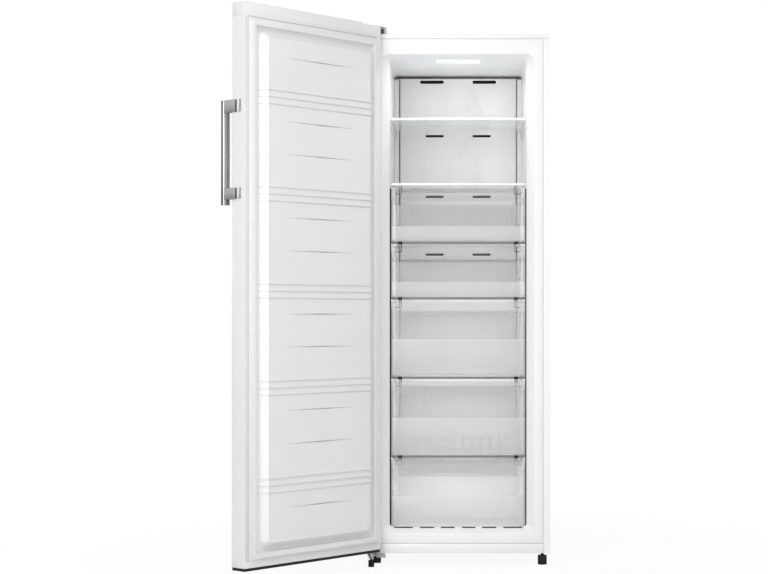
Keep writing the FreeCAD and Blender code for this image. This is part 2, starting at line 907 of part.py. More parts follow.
def serpentine(passes, pitch, half_span, start, radius, across, along):
    """Tube that runs to and fro with bevelled returns; start is the middle of the first pass."""
    points = []
    direction = 1
    bevel = pitch * coil_bevel
    for index in range(passes):
        centre = start + along * (pitch * index)
        points.append(centre - across * (half_span * direction))
        last = centre + across * (half_span * direction)
        points.append(last)
        if index < passes - 1:
            points.append(last + across * (bevel * direction) + along * bevel)
            points.append(last + across * (bevel * direction) + along * (pitch - bevel))
        direction = -direction
    path = Part.makePolygon(points)
    turns = [2 * math.pi * (index + 0.5) / 8 for index in range(9)]
    ring = Part.makePolygon([
        points[0] + along * (radius * math.cos(a)) + across.cross(along) * (radius * math.sin(a)) for a in turns
    ])
    return path.makePipeShell([ring], True, True, 1)


def evaporator_coil():
    """Tube that threads the fins."""
    pitch = evaporator_height / coil_passes
    start = Vector(0, coil_y, evaporator_bottom + pitch / 2)
    half_span = evaporator_width / 2 + coil_overhang
    room = duct_width / 2 - duct_wall - pitch / 2 - coil_radius - coil_clearance
    half_span = min(half_span, room)
    return serpentine(coil_passes, pitch, half_span, start, coil_radius, X_AXIS, Z_AXIS)


def defrost_heater():
    """Straight sheathed heater under the fins, on two end blocks that stand in the gutter."""
    z = evaporator_bottom - heater_drop
    half = evaporator_width / 2
    tube = box(
        -half, half, coil_y - heater_radius, coil_y + heater_radius, z - heater_radius, z + heater_radius,
    )
    tube = tube.makeChamfer(heater_radius / 2, [edge for edge in tube.Edges if edge.Length > half])
    blocks = [
        box(
            x - heater_radius, x + heater_radius, coil_y - 2 * heater_radius, coil_y + 2 * heater_radius,
            gutter_low + gutter_wall, evaporator_bottom,
        )
        for x in (-half + 2 * heater_radius, half - 2 * heater_radius)
    ]
    return joined([tube] + blocks)


gutter_low = step_top
gutter_top = gutter_low + gutter_height


def drain_gutter():
    """Trough under the evaporator, with the tube that leads melt water down into the compressor bay."""
    half = evaporator_width / 2 + gutter_overlap
    y0 = coil_y - evaporator_depth / 2
    y1 = coil_y + evaporator_depth / 2
    outer = box(-half, half, y0, y1, gutter_low, gutter_top)
    inner = box(
        -half + gutter_wall, half - gutter_wall, y0 + gutter_wall, y1 - gutter_wall,
        gutter_low + gutter_wall, gutter_top + 1,
    )
    length = gutter_low + gutter_wall - drain_end
    tube = prism(drain_radius, drain_sides, compressor_offset, coil_y, drain_end, length)
    bore = prism(drain_radius - drain_wall, drain_sides, compressor_offset, coil_y, drain_end - 1, length + 2)
    return less(joined([outer, tube]), [inner, bore])


# ---------------------------------------------------------------- lamp
def lamp_cover():
    """Shallow clear cover on the ceiling just behind the mouth, open above."""
    half = lamp_width / 2
    z0 = room_ceiling - lamp_height
    outer = box(-half, half, at(lamp_front), at(lamp_front + lamp_depth), z0, room_ceiling)
    edges = [edge for edge in outer.Edges if edge.CenterOfMass.z < z0 + 0.1]
    outer = outer.makeFillet(lamp_edge, edges)
    inner = box(
        -half + lamp_wall, half - lamp_wall,
        at(lamp_front + lamp_wall), at(lamp_front + lamp_depth - lamp_wall),
        z0 + lamp_wall, room_ceiling,
    )
    return outer.cut(inner)


def lamp_board():
    """Light strip under the ceiling inside the cover."""
    half = lamp_board_width / 2
    middle = at(lamp_front + lamp_depth / 2)
    return box(
        -half, half, middle - lamp_board_depth / 2, middle + lamp_board_depth / 2,
        room_ceiling - lamp_board_thickness, room_ceiling,
    )


# ---------------------------------------------------------------- compressor bay
plate_top = ground_clearance + plate_sheet
plate_inside = half_width - panel_sheet
compressor_y = at(bay_front + bay_depth / 2)
compressor_foot_z = plate_top + grommet_height
compressor_base = compressor_foot_z + compressor_foot_sheet
compressor_top = compressor_base + compressor_shell_height
drain_end = compressor_top + drain_drop
roller_y = back - roller_from_back


def grommet_places():
    """The four corners where the compressor stands on its grommets."""
    dx = compressor_foot_span / 2
    dy = compressor_foot_depth / 2
    return [(compressor_offset + sx * dx, compressor_y + sy * dy) for sx in (-1, 1) for sy in (-1, 1)]


def roller_cheeks(x):
    """Two ears that carry one roller's axle, hanging from the plate."""
    gap = roller_width / 2 + roller_side_gap
    ears = []
    for inner in (x - gap - roller_cheek, x + gap):
        low = roller_radius - roller_ear_reach
        ears.append(side_profile([
            (roller_y - roller_ear_radius, plate_top), (roller_y - roller_ear_radius, roller_radius),
            (roller_y - roller_ear_radius / 2, low), (roller_y + roller_ear_radius / 2, low),
            (roller_y + roller_ear_radius, roller_radius), (roller_y + roller_ear_radius, plate_top),
        ], inner, inner + roller_cheek))
    return ears


def compressor_plate():
    """Floor of the bay: a sheet with turned-up edges, and the ears and axles of the rear rollers."""
    sheet = box(-plate_inside, plate_inside, at(bay_front), back, ground_clearance, plate_top)
    lips = [
        box(-plate_inside, plate_inside, y, y + plate_sheet, ground_clearance, ground_clearance + plate_lip)
        for y in (at(bay_front), back - plate_sheet)
    ]
    ears = roller_cheeks(roller_offset) + roller_cheeks(-roller_offset)
    reach = roller_width / 2 + roller_side_gap
    axles = [
        rod(roller_axle_radius, x - reach, roller_y, roller_radius, 2 * reach, X_AXIS)
        for x in (-roller_offset, roller_offset)
    ]
    return joined([sheet] + lips + ears + axles)


def rear_roller(x):
    """Plain roller bored for its axle."""
    wheel = prism(roller_radius, roller_sides, 0, 0, 0, roller_width)
    wheel.rotate(Vector(0, 0, 0), Y_AXIS, 90)
    wheel.translate(Vector(x - roller_width / 2, roller_y, roller_radius))
    bore = rod(
        roller_axle_radius + running_fit, x - roller_width, roller_y, roller_radius, roller_width * 2, X_AXIS,
    )
    return wheel.cut(bore)


def compressor():
    """Domed hermetic shell with its seam ring, on a foot plate."""
    seam_z = compressor_base + compressor_seam_level
    seam_radius = compressor_radius + compressor_seam_reach
    body = prism(
        compressor_radius, compressor_sides, compressor_offset, compressor_y,
        compressor_base, compressor_shell_height,
    )
    level_edges = [edge for edge in body.Edges if edge.BoundBox.ZLength < 0.1]
    body = body.makeChamfer(compressor_dome, level_edges)
    seam = prism(
        seam_radius, compressor_sides, compressor_offset, compressor_y, seam_z, compressor_seam_height,
    )
    dx = compressor_foot_span / 2 + grommet_radius
    dy = compressor_foot_depth / 2 + grommet_radius
    foot = box(
        compressor_offset - dx, compressor_offset + dx, compressor_y - dy, compressor_y + dy,
        compressor_foot_z, compressor_base,
    )
    holes = [
        prism(grommet_stud_radius, 6, x, y, compressor_foot_z - 1, compressor_foot_sheet + 2)
        for x, y in grommet_places()
    ]
    return less(joined([body, seam, foot]), holes)


def compressor_grommets():
    """Rubber grommets under the compressor's foot plate, each with a stud through the plate."""
    grommets = []
    for x, y in grommet_places():
        body = prism(grommet_radius, 12, x, y, plate_top, grommet_height)
        stud_height = grommet_height + compressor_foot_sheet + grommet_stud_proud
        stud = prism(grommet_stud_radius, 6, x, y, plate_top, stud_height)
        grommets.append(joined([body, stud]))
    return Part.makeCompound(grommets)


def terminal_cover():
    """Box over the compressor's electrical terminals, fitted to the shell."""
    width, depth, height = terminal_cover_size
    x1 = compressor_offset - compressor_radius + terminal_cover_lap
    z0 = compressor_base + terminal_cover_level
    cover = box(x1 - width, x1, compressor_y - depth / 2, compressor_y + depth / 2, z0, z0 + height)
    shell = prism(
        compressor_radius, compressor_sides, compressor_offset, compressor_y, z0 - 1, height + 2,
    )
    return cover.cut(shell)


def drain_tray():
    """Open tray on top of the compressor where the melt water dries off."""
    x0 = compressor_offset - tray_width / 2
    y0 = compressor_y - tray_depth / 2
    z0 = compressor_top
    outer = box(x0, x0 + tray_width, y0, y0 + tray_depth, z0, z0 + tray_height)
    inner = box(
        x0 + tray_wall, x0 + tray_width - tray_wall, y0 + tray_wall, y0 + tray_depth - tray_wall,
        z0 + tray_wall, z0 + tray_height + 1,
    )
    return outer.cut(inner)


def control_box():
    """Case of the control electronics, standing on the bay's floor, and its lid towards the back."""
    width, depth, height = control_box_size
    x0 = -control_box_offset - width / 2
    y0 = compressor_y - depth / 2
    outer = box(x0, x0 + width, y0, y0 + depth, plate_top, plate_top + height)
    wall = control_box_wall
    inner = box(
        x0 + wall, x0 + width - wall, y0 + wall, y0 + depth, plate_top + wall, plate_top + height - wall,
    )
    lid_y = y0 + depth
    lid = box(x0, x0 + width, lid_y, lid_y + control_lid, plate_top, plate_top + height)
    return Part.makeCompound([outer.cut(inner), lid])


gland_x = -control_box_offset - gland_from_box
gland_z = plate_top + gland_level


def bay_cover():
    """Rear cover of the compressor bay with rows of air slots and the hole for the lead's bushing."""
    y0 = back - bay_cover_sheet
    low = ground_clearance + plate_lip
    sheet = box(-plate_inside, plate_inside, y0, back, low, bay_top)
    cutters = [prism_along_y(gland_radius, gland_sides, gland_x, y0 - 1, gland_z, bay_cover_sheet + 2)]
    pitch_x = 2 * plate_inside / (bay_slot_columns + 1)
    pitch_z = (bay_top - low) / (bay_slot_rows + 3)
    for column in range(bay_slot_columns):
        for row in range(bay_slot_rows):
            x = -plate_inside + pitch_x * (column + 1)
            z = bay_top - pitch_z * (row + 1)
            cutters.append(box(
                x - bay_slot_width / 2, x + bay_slot_width / 2, y0 - 1, back + 1,
                z - bay_slot_height / 2, z + bay_slot_height / 2,
            ))
    return less(sheet, cutters)


def mains_gland():
    """Bushing in the rear cover, bored for the mains lead."""
    y0 = back - gland_length
    whole = gland_length + gland_flange_wall
    body = prism_along_y(gland_radius, gland_sides, gland_x, y0, gland_z, whole)
    flange = prism_along_y(gland_flange, gland_sides, gland_x, back, gland_z, gland_flange_wall)
    bore = rod(gland_bore, gland_x, y0 - 1, gland_z, whole + 2, Y_AXIS)
    return joined([body, flange]).cut(bore)


# ---------------------------------------------------------------- feet
def front_foot():
    """Levelling foot: a knob with grip flats on a stud that screws into the base."""
    x = foot_offset
    y = at(foot_depth)
    knob = prism(foot_radius, foot_sides, x, y, 0, foot_knob_height)
    stud_length = ground_clearance + foot_boss_height - foot_stud_short - foot_knob_height
    stud = rod(foot_stud_radius, x, y, foot_knob_height, stud_length, Z_AXIS)
    return joined([knob, stud])


def foot_bore():
    """Cutter for the hole up through the threaded boss."""
    return rod(
        foot_stud_radius + running_fit, foot_offset, at(foot_depth),
        ground_clearance - 1, foot_boss_height + 2, Z_AXIS,
    )


hinge_foot_y = hinge_y + bracket_tip_radius
lower_plate_low = ground_clearance - bracket_sheet
nut_height = lower_plate_low - hinge_foot_knob_height - hinge_foot_nut_gap


def hinge_foot():
    """Smaller levelling foot that screws into the nut under the lower hinge bracket."""
    knob = prism(hinge_foot_radius, foot_sides, hinge_x, hinge_foot_y, 0, hinge_foot_knob_height)
    stud = rod(
        hinge_foot_stud_radius, hinge_x, hinge_foot_y,
        hinge_foot_knob_height, lower_plate_low - hinge_foot_knob_height, Z_AXIS,
    )
    return joined([knob, stud])


def hinge_support_block():
    """Plastic block under the lower hinge bracket."""
    x0 = hinge_x + support_block_from_pin
    y0 = at(support_block_setback)
    z1 = lower_plate_low
    return box(
        x0, x0 + support_block_width, y0, y0 + support_block_depth, z1 - support_block_height, z1,
    )


# ---------------------------------------------------------------- hinges
bracket_x0 = -half_width + bracket_edge
bracket_x1 = bracket_x0 + bracket_width
recess_top = door_top - hinge_recess_depth
arm_low = recess_top + bracket_gap
arm_high = arm_low + bracket_sheet


def bracket_plan(y_far, z, height):
    """Hinge arm seen from above: a plate with a round tip about the pin."""
    left = bracket_x0
    tip_y = hinge_y
    radius = bracket_tip_radius
    centre_x = hinge_x + bracket_tip_shift
    points = [Vector(left, y_far, z), Vector(bracket_x1, y_far, z), Vector(bracket_x1, front, z)]
    edge_points = [Vector(centre_x + radius, tip_y, z), Vector(centre_x, tip_y - radius, z)]
    arc_end = Vector(left, tip_y, z)
    edges = [
        Part.makeLine(points[0], points[1]),
        Part.makeLine(points[1], points[2]),
        Part.makeLine(points[2], edge_points[0]),
        Part.Arc(edge_points[0], edge_points[1], Vector(centre_x - radius, tip_y, z)).toShape(),
    ]
    if abs(centre_x - radius - left) > 1e-6:
        edges.append(Part.makeLine(Vector(centre_x - radius, tip_y, z), arc_end))
    edges.append(Part.makeLine(arc_end, points[0]))
    return block_from(Part.Wire(edges), Vector(0, 0, height))


def top_hinge():
    """Upper bracket: foot on the cabinet's top, riser, arm over the door's corner, and the pin."""
    foot = box(
        bracket_x0, bracket_x1, at(bracket_setback), at(bracket_back),
        cabinet_height, cabinet_height + bracket_sheet,
    )
    riser_back = at(bracket_setback + bracket_sheet)
    riser = box(bracket_x0, bracket_x1, at(bracket_setback), riser_back, cabinet_height, arm_high)
    arm = bracket_plan(riser_back, arm_low, bracket_sheet)
    pin = rod(pin_radius, hinge_x, hinge_y, arm_low - pin_length, pin_length, Z_AXIS)
    return joined([foot, riser, arm, pin])


def hinge_cover():
    """Moulded cap over the upper bracket's foot, open below and towards the riser."""
    gap = hinge_cover_gap
    y0 = at(bracket_setback + bracket_sheet)
    outer = box(
        bracket_x0 - gap, bracket_x1 + gap, y0, at(bracket_back) + gap + hinge_cover_wall,
        cabinet_height, arm_high,
    )
    wall = hinge_cover_wall
    edges = [edge for edge in outer.Edges if edge.CenterOfMass.z > arm_high - 0.1]
    edges = [edge for edge in edges if edge.CenterOfMass.y > y0 + 0.1]
    outer = outer.makeFillet(wall, edges)
    inner = box(
        bracket_x0 - gap + wall, bracket_x1 + gap - wall, y0 - 1, at(bracket_back) + gap,
        cabinet_height, arm_high - wall,
    )
    return outer.cut(inner)


def lower_hinge():
    """Lower bracket: plate under the base, turned-down lip, foot nut, and the pin that carries the door."""
    plate = bracket_plan(at(lower_bracket_reach), lower_plate_low, bracket_sheet)
    lip = box(
        hinge_x + bracket_tip_radius, bracket_x1, front - bracket_sheet, front,
        ground_clearance - lower_bracket_lip, ground_clearance,
    )
    nut = prism(hinge_foot_nut_radius, 6, hinge_x, hinge_foot_y, lower_plate_low - nut_height, nut_height)
    thread = rod(
        hinge_foot_stud_radius + running_fit, hinge_x, hinge_foot_y,
        lower_plate_low - nut_height - 1, nut_height + bracket_sheet + 2, Z_AXIS,
    )
    pin_height = door_bottom - ground_clearance + pin_length
    pin = rod(pin_radius, hinge_x, hinge_y, lower_plate_low, pin_height + bracket_sheet, Z_AXIS)
    return joined([plate.cut(thread), nut.cut(thread), lip, pin])


def bush(z0, z1):
    """Door bush around a hinge pin."""
    outer = prism(bush_radius, bush_sides, hinge_x, hinge_y, z0, z1 - z0)
    return outer.cut(rod(pin_radius + running_fit, hinge_x, hinge_y, z0 - 1, z1 - z0 + 2, Z_AXIS))


def hinge_bushes():
    """Upper and lower bush; the lower one stands proud and carries the door's weight."""
    upper = bush(recess_top - bush_length, recess_top)
    lower = bush(ground_clearance + bracket_gap, door_bottom + bush_length)
    return Part.makeCompound([upper, lower])


def bush_holes():
    """Cutters for the two bushes in the door's caps and foam."""
    return [
        prism(bush_radius, bush_sides, hinge_x, hinge_y, recess_top - bush_length, bush_length + top_cap_height),
        prism(bush_radius, bush_sides, hinge_x, hinge_y, door_bottom - 1, bush_length + 1),
    ]


# ---------------------------------------------------------------- door
def door_block(inset, z0, z1):
    """Upright block with the door's outline, its two outer corners rounded."""
    corner = door_corner - inset
    wire = rounded_plan(
        -half_width + inset, half_width - inset, door_outer + inset, door_inner - inset,
        z0, [corner, corner, 0, 0],
    )
    return block_from(wire, Vector(0, 0, z1 - z0))


def hinge_recess():
    """Cutter for the shallow recess that the hinge arm swings in, at the top corner of the door."""
    return box(
        -half_width - 1, -half_width + hinge_recess_length, door_outer - 1, door_inner + 1,
        recess_top, door_top + 1,
    )


def door_skin():
    """Outer sheet of the door: front, both sides and the two narrow returns on the inner face."""
    low = cap_low
    high = door_top - door_sheet
    outer = door_block(0, low, high)
    open_half = half_width - door_return
    core = door_block(door_sheet, low - 1, high + 1)
    mouth = box(-open_half, open_half, door_inner - 2 * door_sheet, door_inner + 1, low - 1, high + 1)
    lap = door_outer + cap_lap
    ends = [
        box(-half_width - 1, half_width + 1, lap, door_inner + 1, z0, z1)
        for z0, z1 in ((low - 1, liner_low), (liner_high, high + 1))
    ]
    return less(outer, [core, mouth, hinge_recess()] + ends)


def top_cap():
    """Moulded cap over the top of the door, with a recess for the hinge arm."""
    block = door_block(0, liner_high, door_top)
    pocket = door_block(door_sheet + cap_wall, liner_high - 1, recess_top - cap_wall)
    return less(block, [pocket, hinge_recess(), door_skin()] + bush_holes())


def bottom_cap():
    """Moulded cap under the door's skin and liner."""
    block = door_block(0, cap_low, liner_low)
    pocket = door_block(door_sheet + cap_wall, cap_low + cap_wall, liner_low + 1)
    return less(block, [pocket, door_skin()] + bush_holes())


def bottom_trim():
    """Dark strip that closes the underside of the door."""
    return less(door_block(bottom_trim_inset, door_bottom, cap_low), bush_holes())


def plug_form(grow):
    """Filled shape of the liner's raised middle, grown outwards, with a straight root in the flange."""
    half = half_width - plug_side + grow
    low = plug_bottom - grow
    high = plug_top + grow
    root = rounded_front(-half, half, low, high, door_inner, plug_corner + grow)
    crown = rounded_front(
        -half + plug_taper, half - plug_taper, low + plug_taper, high - plug_taper,
        door_inner + plug_depth + grow, plug_corner + grow - plug_taper,
    )
    base = block_from(root, Vector(0, -door_liner_wall, 0))
    return joined([tapered(root, crown), base])


def liner_ribs():
    """Groups of three level ribs that wrap over the raised middle."""
    root = half_width - plug_side + rib_depth
    crown = root - plug_taper
    crown_y = door_inner + plug_depth + rib_depth
    ribs = []
    for level in rib_levels:
        for step in (-1, 0, 1):
            z = level + step * rib_spacing - rib_height / 2
            outline = Part.makePolygon([
                Vector(-root, door_inner, z), Vector(root, door_inner, z),
                Vector(crown, crown_y, z), Vector(-crown, crown_y, z), Vector(-root, door_inner, z),
            ])
            ribs.append(block_from(outline, Vector(0, 0, rib_height)))
    return ribs


def liner_creases():
    """Cutters for the shallow level creases in the raised middle, deepest at their middle."""
    face_y = door_inner + plug_depth
    reach = crease_length / 2
    half = crease_width / 2
    creases = []
    for level in rib_levels:
        for z in (level + crease_above_rib, level - crease_below_rib):
            left = Vector(-reach, face_y, z)
            right = Vector(reach, face_y, z)
            upper = Vector(0, face_y, z + half)
            lower = Vector(0, face_y, z - half)
            root = Vector(0, face_y - crease_depth, z)
            sides = [(left, upper, root), (upper, right, root), (right, lower, root), (lower, left, root)]
            faces = [Part.Face(Part.makePolygon([a, b, c, a])) for a, b, c in sides]
            faces.append(Part.Face(Part.makePolygon([left, upper, right, lower, left])))
            creases.append(solid_from(faces))
    return creases


def door_liner():
    """Formed inner sheet of the door: flange, raised middle, its ribs and creases."""
    half = half_width - door_return
    flange = box(-half, half, door_inner - door_liner_wall, door_inner, liner_low, liner_high)
    formed = joined([flange, plug_form(0)] + liner_ribs())
    return less(formed, [plug_form(-door_liner_wall)] + liner_creases())


def door_foam():
    """Insulation that fills the door."""
    long_core = door_block(door_sheet + cap_wall, cap_low + cap_wall, recess_top - cap_wall)
    core = door_block(door_sheet, liner_low, liner_high)
    liner_space = box(
        -half_width, half_width, door_inner - door_liner_wall, door_inner + 1, liner_low, liner_high,
    )
    body = less(joined([long_core, core]), [liner_space])
    return less(joined([body, plug_form(-door_liner_wall)]), bush_holes())


def gasket_ring(width, y0, y1):
    """One layer of the door seal, a frame of the given width with mitred corners."""
    half = half_width - gasket_side - gasket_width / 2
    low = gasket_bottom + gasket_width / 2
    high = gasket_top - gasket_width / 2
    reach = width / 2
    outer = box(-half - reach, half + reach, y0, y1, low - reach, high + reach)
    inner = box(-half + reach, half - reach, y0, y1, low + reach, high - reach)
    return outer.cut(inner)


def door_gasket():
    """Magnetic seal in three layers: foot, bellows and magnet bead."""
    neck_y = door_inner + gasket_base
    head_y = neck_y + gasket_neck
    return joined([
        gasket_ring(gasket_width, door_inner, neck_y),
        gasket_ring(gasket_neck_width, neck_y, head_y),
        gasket_ring(gasket_head_width, head_y, front - gasket_gap),
    ])


# ---------------------------------------------------------------- handle
handle_x1 = half_width + handle_overhang
handle_bar_y1 = door_outer - handle_standoff
handle_bar_y0 = handle_bar_y1 - handle_bar_depth


def handle_bar():
    """Upright bar, rounded along its edges, with a groove in the face towards the door."""
    x0 = handle_x1 - handle_bar_width
    bar = box(x0, handle_x1, handle_bar_y0, handle_bar_y1, handle_bar_bottom, handle_bar_top)
    long_edges = [edge for edge in bar.Edges if edge.Length > handle_bar_width * 2]
    bar = bar.makeFillet(handle_bar_wall, long_edges)
    groove = box(
        x0 + 2 * handle_bar_wall, handle_x1 - 2 * handle_bar_wall,
        handle_bar_y1 - handle_bar_depth / 2, handle_bar_y1 + 1,
        handle_bar_bottom + handle_bar_wall, handle_bar_top - handle_bar_wall,
    )
    return bar.cut(groove)


def handle_bracket(number):
    """Bracket between bar and door that also laps the door's edge."""
    top = handle_bracket_tops[number]
    low = top - handle_bracket_heights[number]
    standoff = box(handle_x1 - handle_bracket_width, handle_x1, handle_bar_y1, door_outer, low, top)
    lap = box(half_width, handle_x1, handle_bar_y1, door_outer + handle_bracket_back, low, top)
    return joined([standoff, lap])


def handle_cap(number):
    """Screw cover behind one bracket on the door's edge."""
    top = handle_bracket_tops[number] - handle_cap_height_inset
    low = handle_bracket_tops[number] - handle_bracket_heights[number] + handle_cap_height_inset
    y0 = door_outer + handle_bracket_back + handle_seam
    cap = box(half_width, handle_x1, y0, y0 + handle_cap_length, low, top)
    edges = [edge for edge in cap.Edges if edge.CenterOfMass.x > handle_x1 - 0.1]
    return cap.makeFillet(handle_bar_wall / 2, edges)


# ---------------------------------------------------------------- all nodes
def fixed_nodes():
    """Everything that stays with the cabinet, with its moving bodies in their rest places."""
    right_panel = side_panel()
    nodes = {
        "right_side_panel": right_panel,
        "left_side_panel": mirrored(right_panel),
        "top_cover": top_cover(),
        "back_panel": back_panel(),
        "bottom_front_rail": bottom_front_rail(),
        "base_pan": base_pan(),
        "inner_liner": inner_liner(),
        "cabinet_foam": cabinet_foam(),
        "shelf_rails": shelf_rails(),
        "shelf_clips": shelf_clips(),
        "duct_cover": duct_cover(),
        "duct_foam": duct_foam(),
        "fan_shroud": fan_shroud(),
        "fan_motor": fan_motor(),
        "fan_rotor": fan_rotor(),
        "evaporator_fins": evaporator_fins(),
        "evaporator_coil": evaporator_coil(),
        "defrost_heater": defrost_heater(),
        "drain_gutter": drain_gutter(),
        "lamp_cover": lamp_cover(),
        "lamp_board": lamp_board(),
        "compressor_plate": compressor_plate(),
        "compressor": compressor(),
        "compressor_grommets": compressor_grommets(),
        "terminal_cover": terminal_cover(),
        "drain_tray": drain_tray(),
        "control_box": control_box(),
        "bay_cover": bay_cover(),
        "mains_gland": mains_gland(),
        "left_rear_roller": rear_roller(-roller_offset),
        "right_rear_roller": rear_roller(roller_offset),
        "right_front_foot": front_foot(),
        "left_front_foot": hinge_foot(),
        "hinge_support_block": hinge_support_block(),
        "top_hinge": top_hinge(),
        "hinge_cover": hinge_cover(),
        "lower_hinge": lower_hinge(),
    }
    for index, level in enumerate(shelf_levels):
        nodes["shelf_%d" % (index + 1)] = shelf_glass(level)
    nodes["shelf_trims"] = Part.makeCompound([shelf_trim(level) for level in shelf_levels[:trimmed_shelves]])
    for index in range(len(drawer_steps)):
        nodes["drawer_%d" % (index + 1)] = drawer(index)
    return nodes


def door_nodes():
    """Everything that swings with the door, built as if the door were closed."""
    nodes = {
        "door_skin": door_skin(),
        "door_top_cap": top_cap(),
        "door_bottom_cap": bottom_cap(),
        "door_bottom_trim": bottom_trim(),
        "door_foam": door_foam(),
        "door_liner": door_liner(),
        "door_gasket": door_gasket(),
        "hinge_bushes": hinge_bushes(),
        "handle_bar": handle_bar(),
        "handle_brackets": Part.makeCompound([handle_bracket(0), handle_bracket(1)]),
        "handle_caps": Part.makeCompound([handle_cap(0), handle_cap(1)]),
    }
    return nodes


def main():
    """Build every node and write it out."""
    os.makedirs("parts", exist_ok=True)
    for name, shape in fixed_nodes().items():
        save(name, shape)
    for name, shape in door_nodes().items():
        save(name, swung(shape))


main()
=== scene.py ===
"""Dressed model of an upright freezer with its door open, in metres, in the frame of its solids."""

import logging
from dataclasses import dataclass, field
from enum import Enum
from math import radians
from typing import Any, Callable, Optional, Sequence, Union

import bmesh
import bpy
from mathutils import Matrix, Vector


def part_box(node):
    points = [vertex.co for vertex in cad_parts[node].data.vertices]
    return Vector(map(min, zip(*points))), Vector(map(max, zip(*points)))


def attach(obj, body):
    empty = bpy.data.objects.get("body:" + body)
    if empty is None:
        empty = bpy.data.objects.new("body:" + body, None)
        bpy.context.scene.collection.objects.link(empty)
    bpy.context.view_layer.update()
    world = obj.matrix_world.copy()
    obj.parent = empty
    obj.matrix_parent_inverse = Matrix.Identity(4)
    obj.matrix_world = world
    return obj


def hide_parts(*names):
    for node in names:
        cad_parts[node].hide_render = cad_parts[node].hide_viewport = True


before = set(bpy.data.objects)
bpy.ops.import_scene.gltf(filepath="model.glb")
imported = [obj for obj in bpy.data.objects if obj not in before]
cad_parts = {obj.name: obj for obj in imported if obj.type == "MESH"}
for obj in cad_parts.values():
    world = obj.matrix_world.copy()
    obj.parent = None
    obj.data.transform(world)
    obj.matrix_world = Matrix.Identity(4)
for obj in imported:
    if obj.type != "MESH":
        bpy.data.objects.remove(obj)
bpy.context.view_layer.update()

LOG = logging.getLogger("freezer")
MM = 0.001
Piece = bpy.types.Object
Triple = tuple[float, float, float]
Pair = tuple[float, float]
Number = Union[int, float]
ONE: Triple = (1.0, 1.0, 1.0)
# Distances within which points are merged, and turns in degrees that are flat or shaded smooth.
WELD_SOLID = 2e-5
WELD_PIECE = 1e-6
FLAT_TURN = 0.6
SMOOTH = 32.0
# Least part of a face's normal along an axis for the face to be picked.
SIDE_ON = 0.9
SQUARE_ON = 0.98
EVEN_FACES = {"mode": "FACE_AREA", "weight": 90, "keep_sharp": True}


# ---- shader maths
@dataclass(frozen=True)
class Wire:
    """One output of a node, with arithmetic that adds Math nodes."""

    graph: "Graph"
    socket: bpy.types.NodeSocket

    def __add__(self, other: "Term") -> "Wire":
        """Sum."""
        return self.graph.maths("ADD", self, other)

    def __rsub__(self, other: Number) -> "Wire":
        """Difference of a number and the wire."""
        return self.graph.maths("SUBTRACT", other, self)

    def __mul__(self, other: "Term") -> "Wire":
        """Product."""
        return self.graph.maths("MULTIPLY", self, other)

    __radd__, __rmul__ = __add__, __mul__

    def clamped(self) -> "Wire":
        """The value held between 0 and 1."""
        return self.graph.maths("MAXIMUM", self.graph.maths("MINIMUM", self, 1.0), 0.0)


Term = Union[Wire, Number]


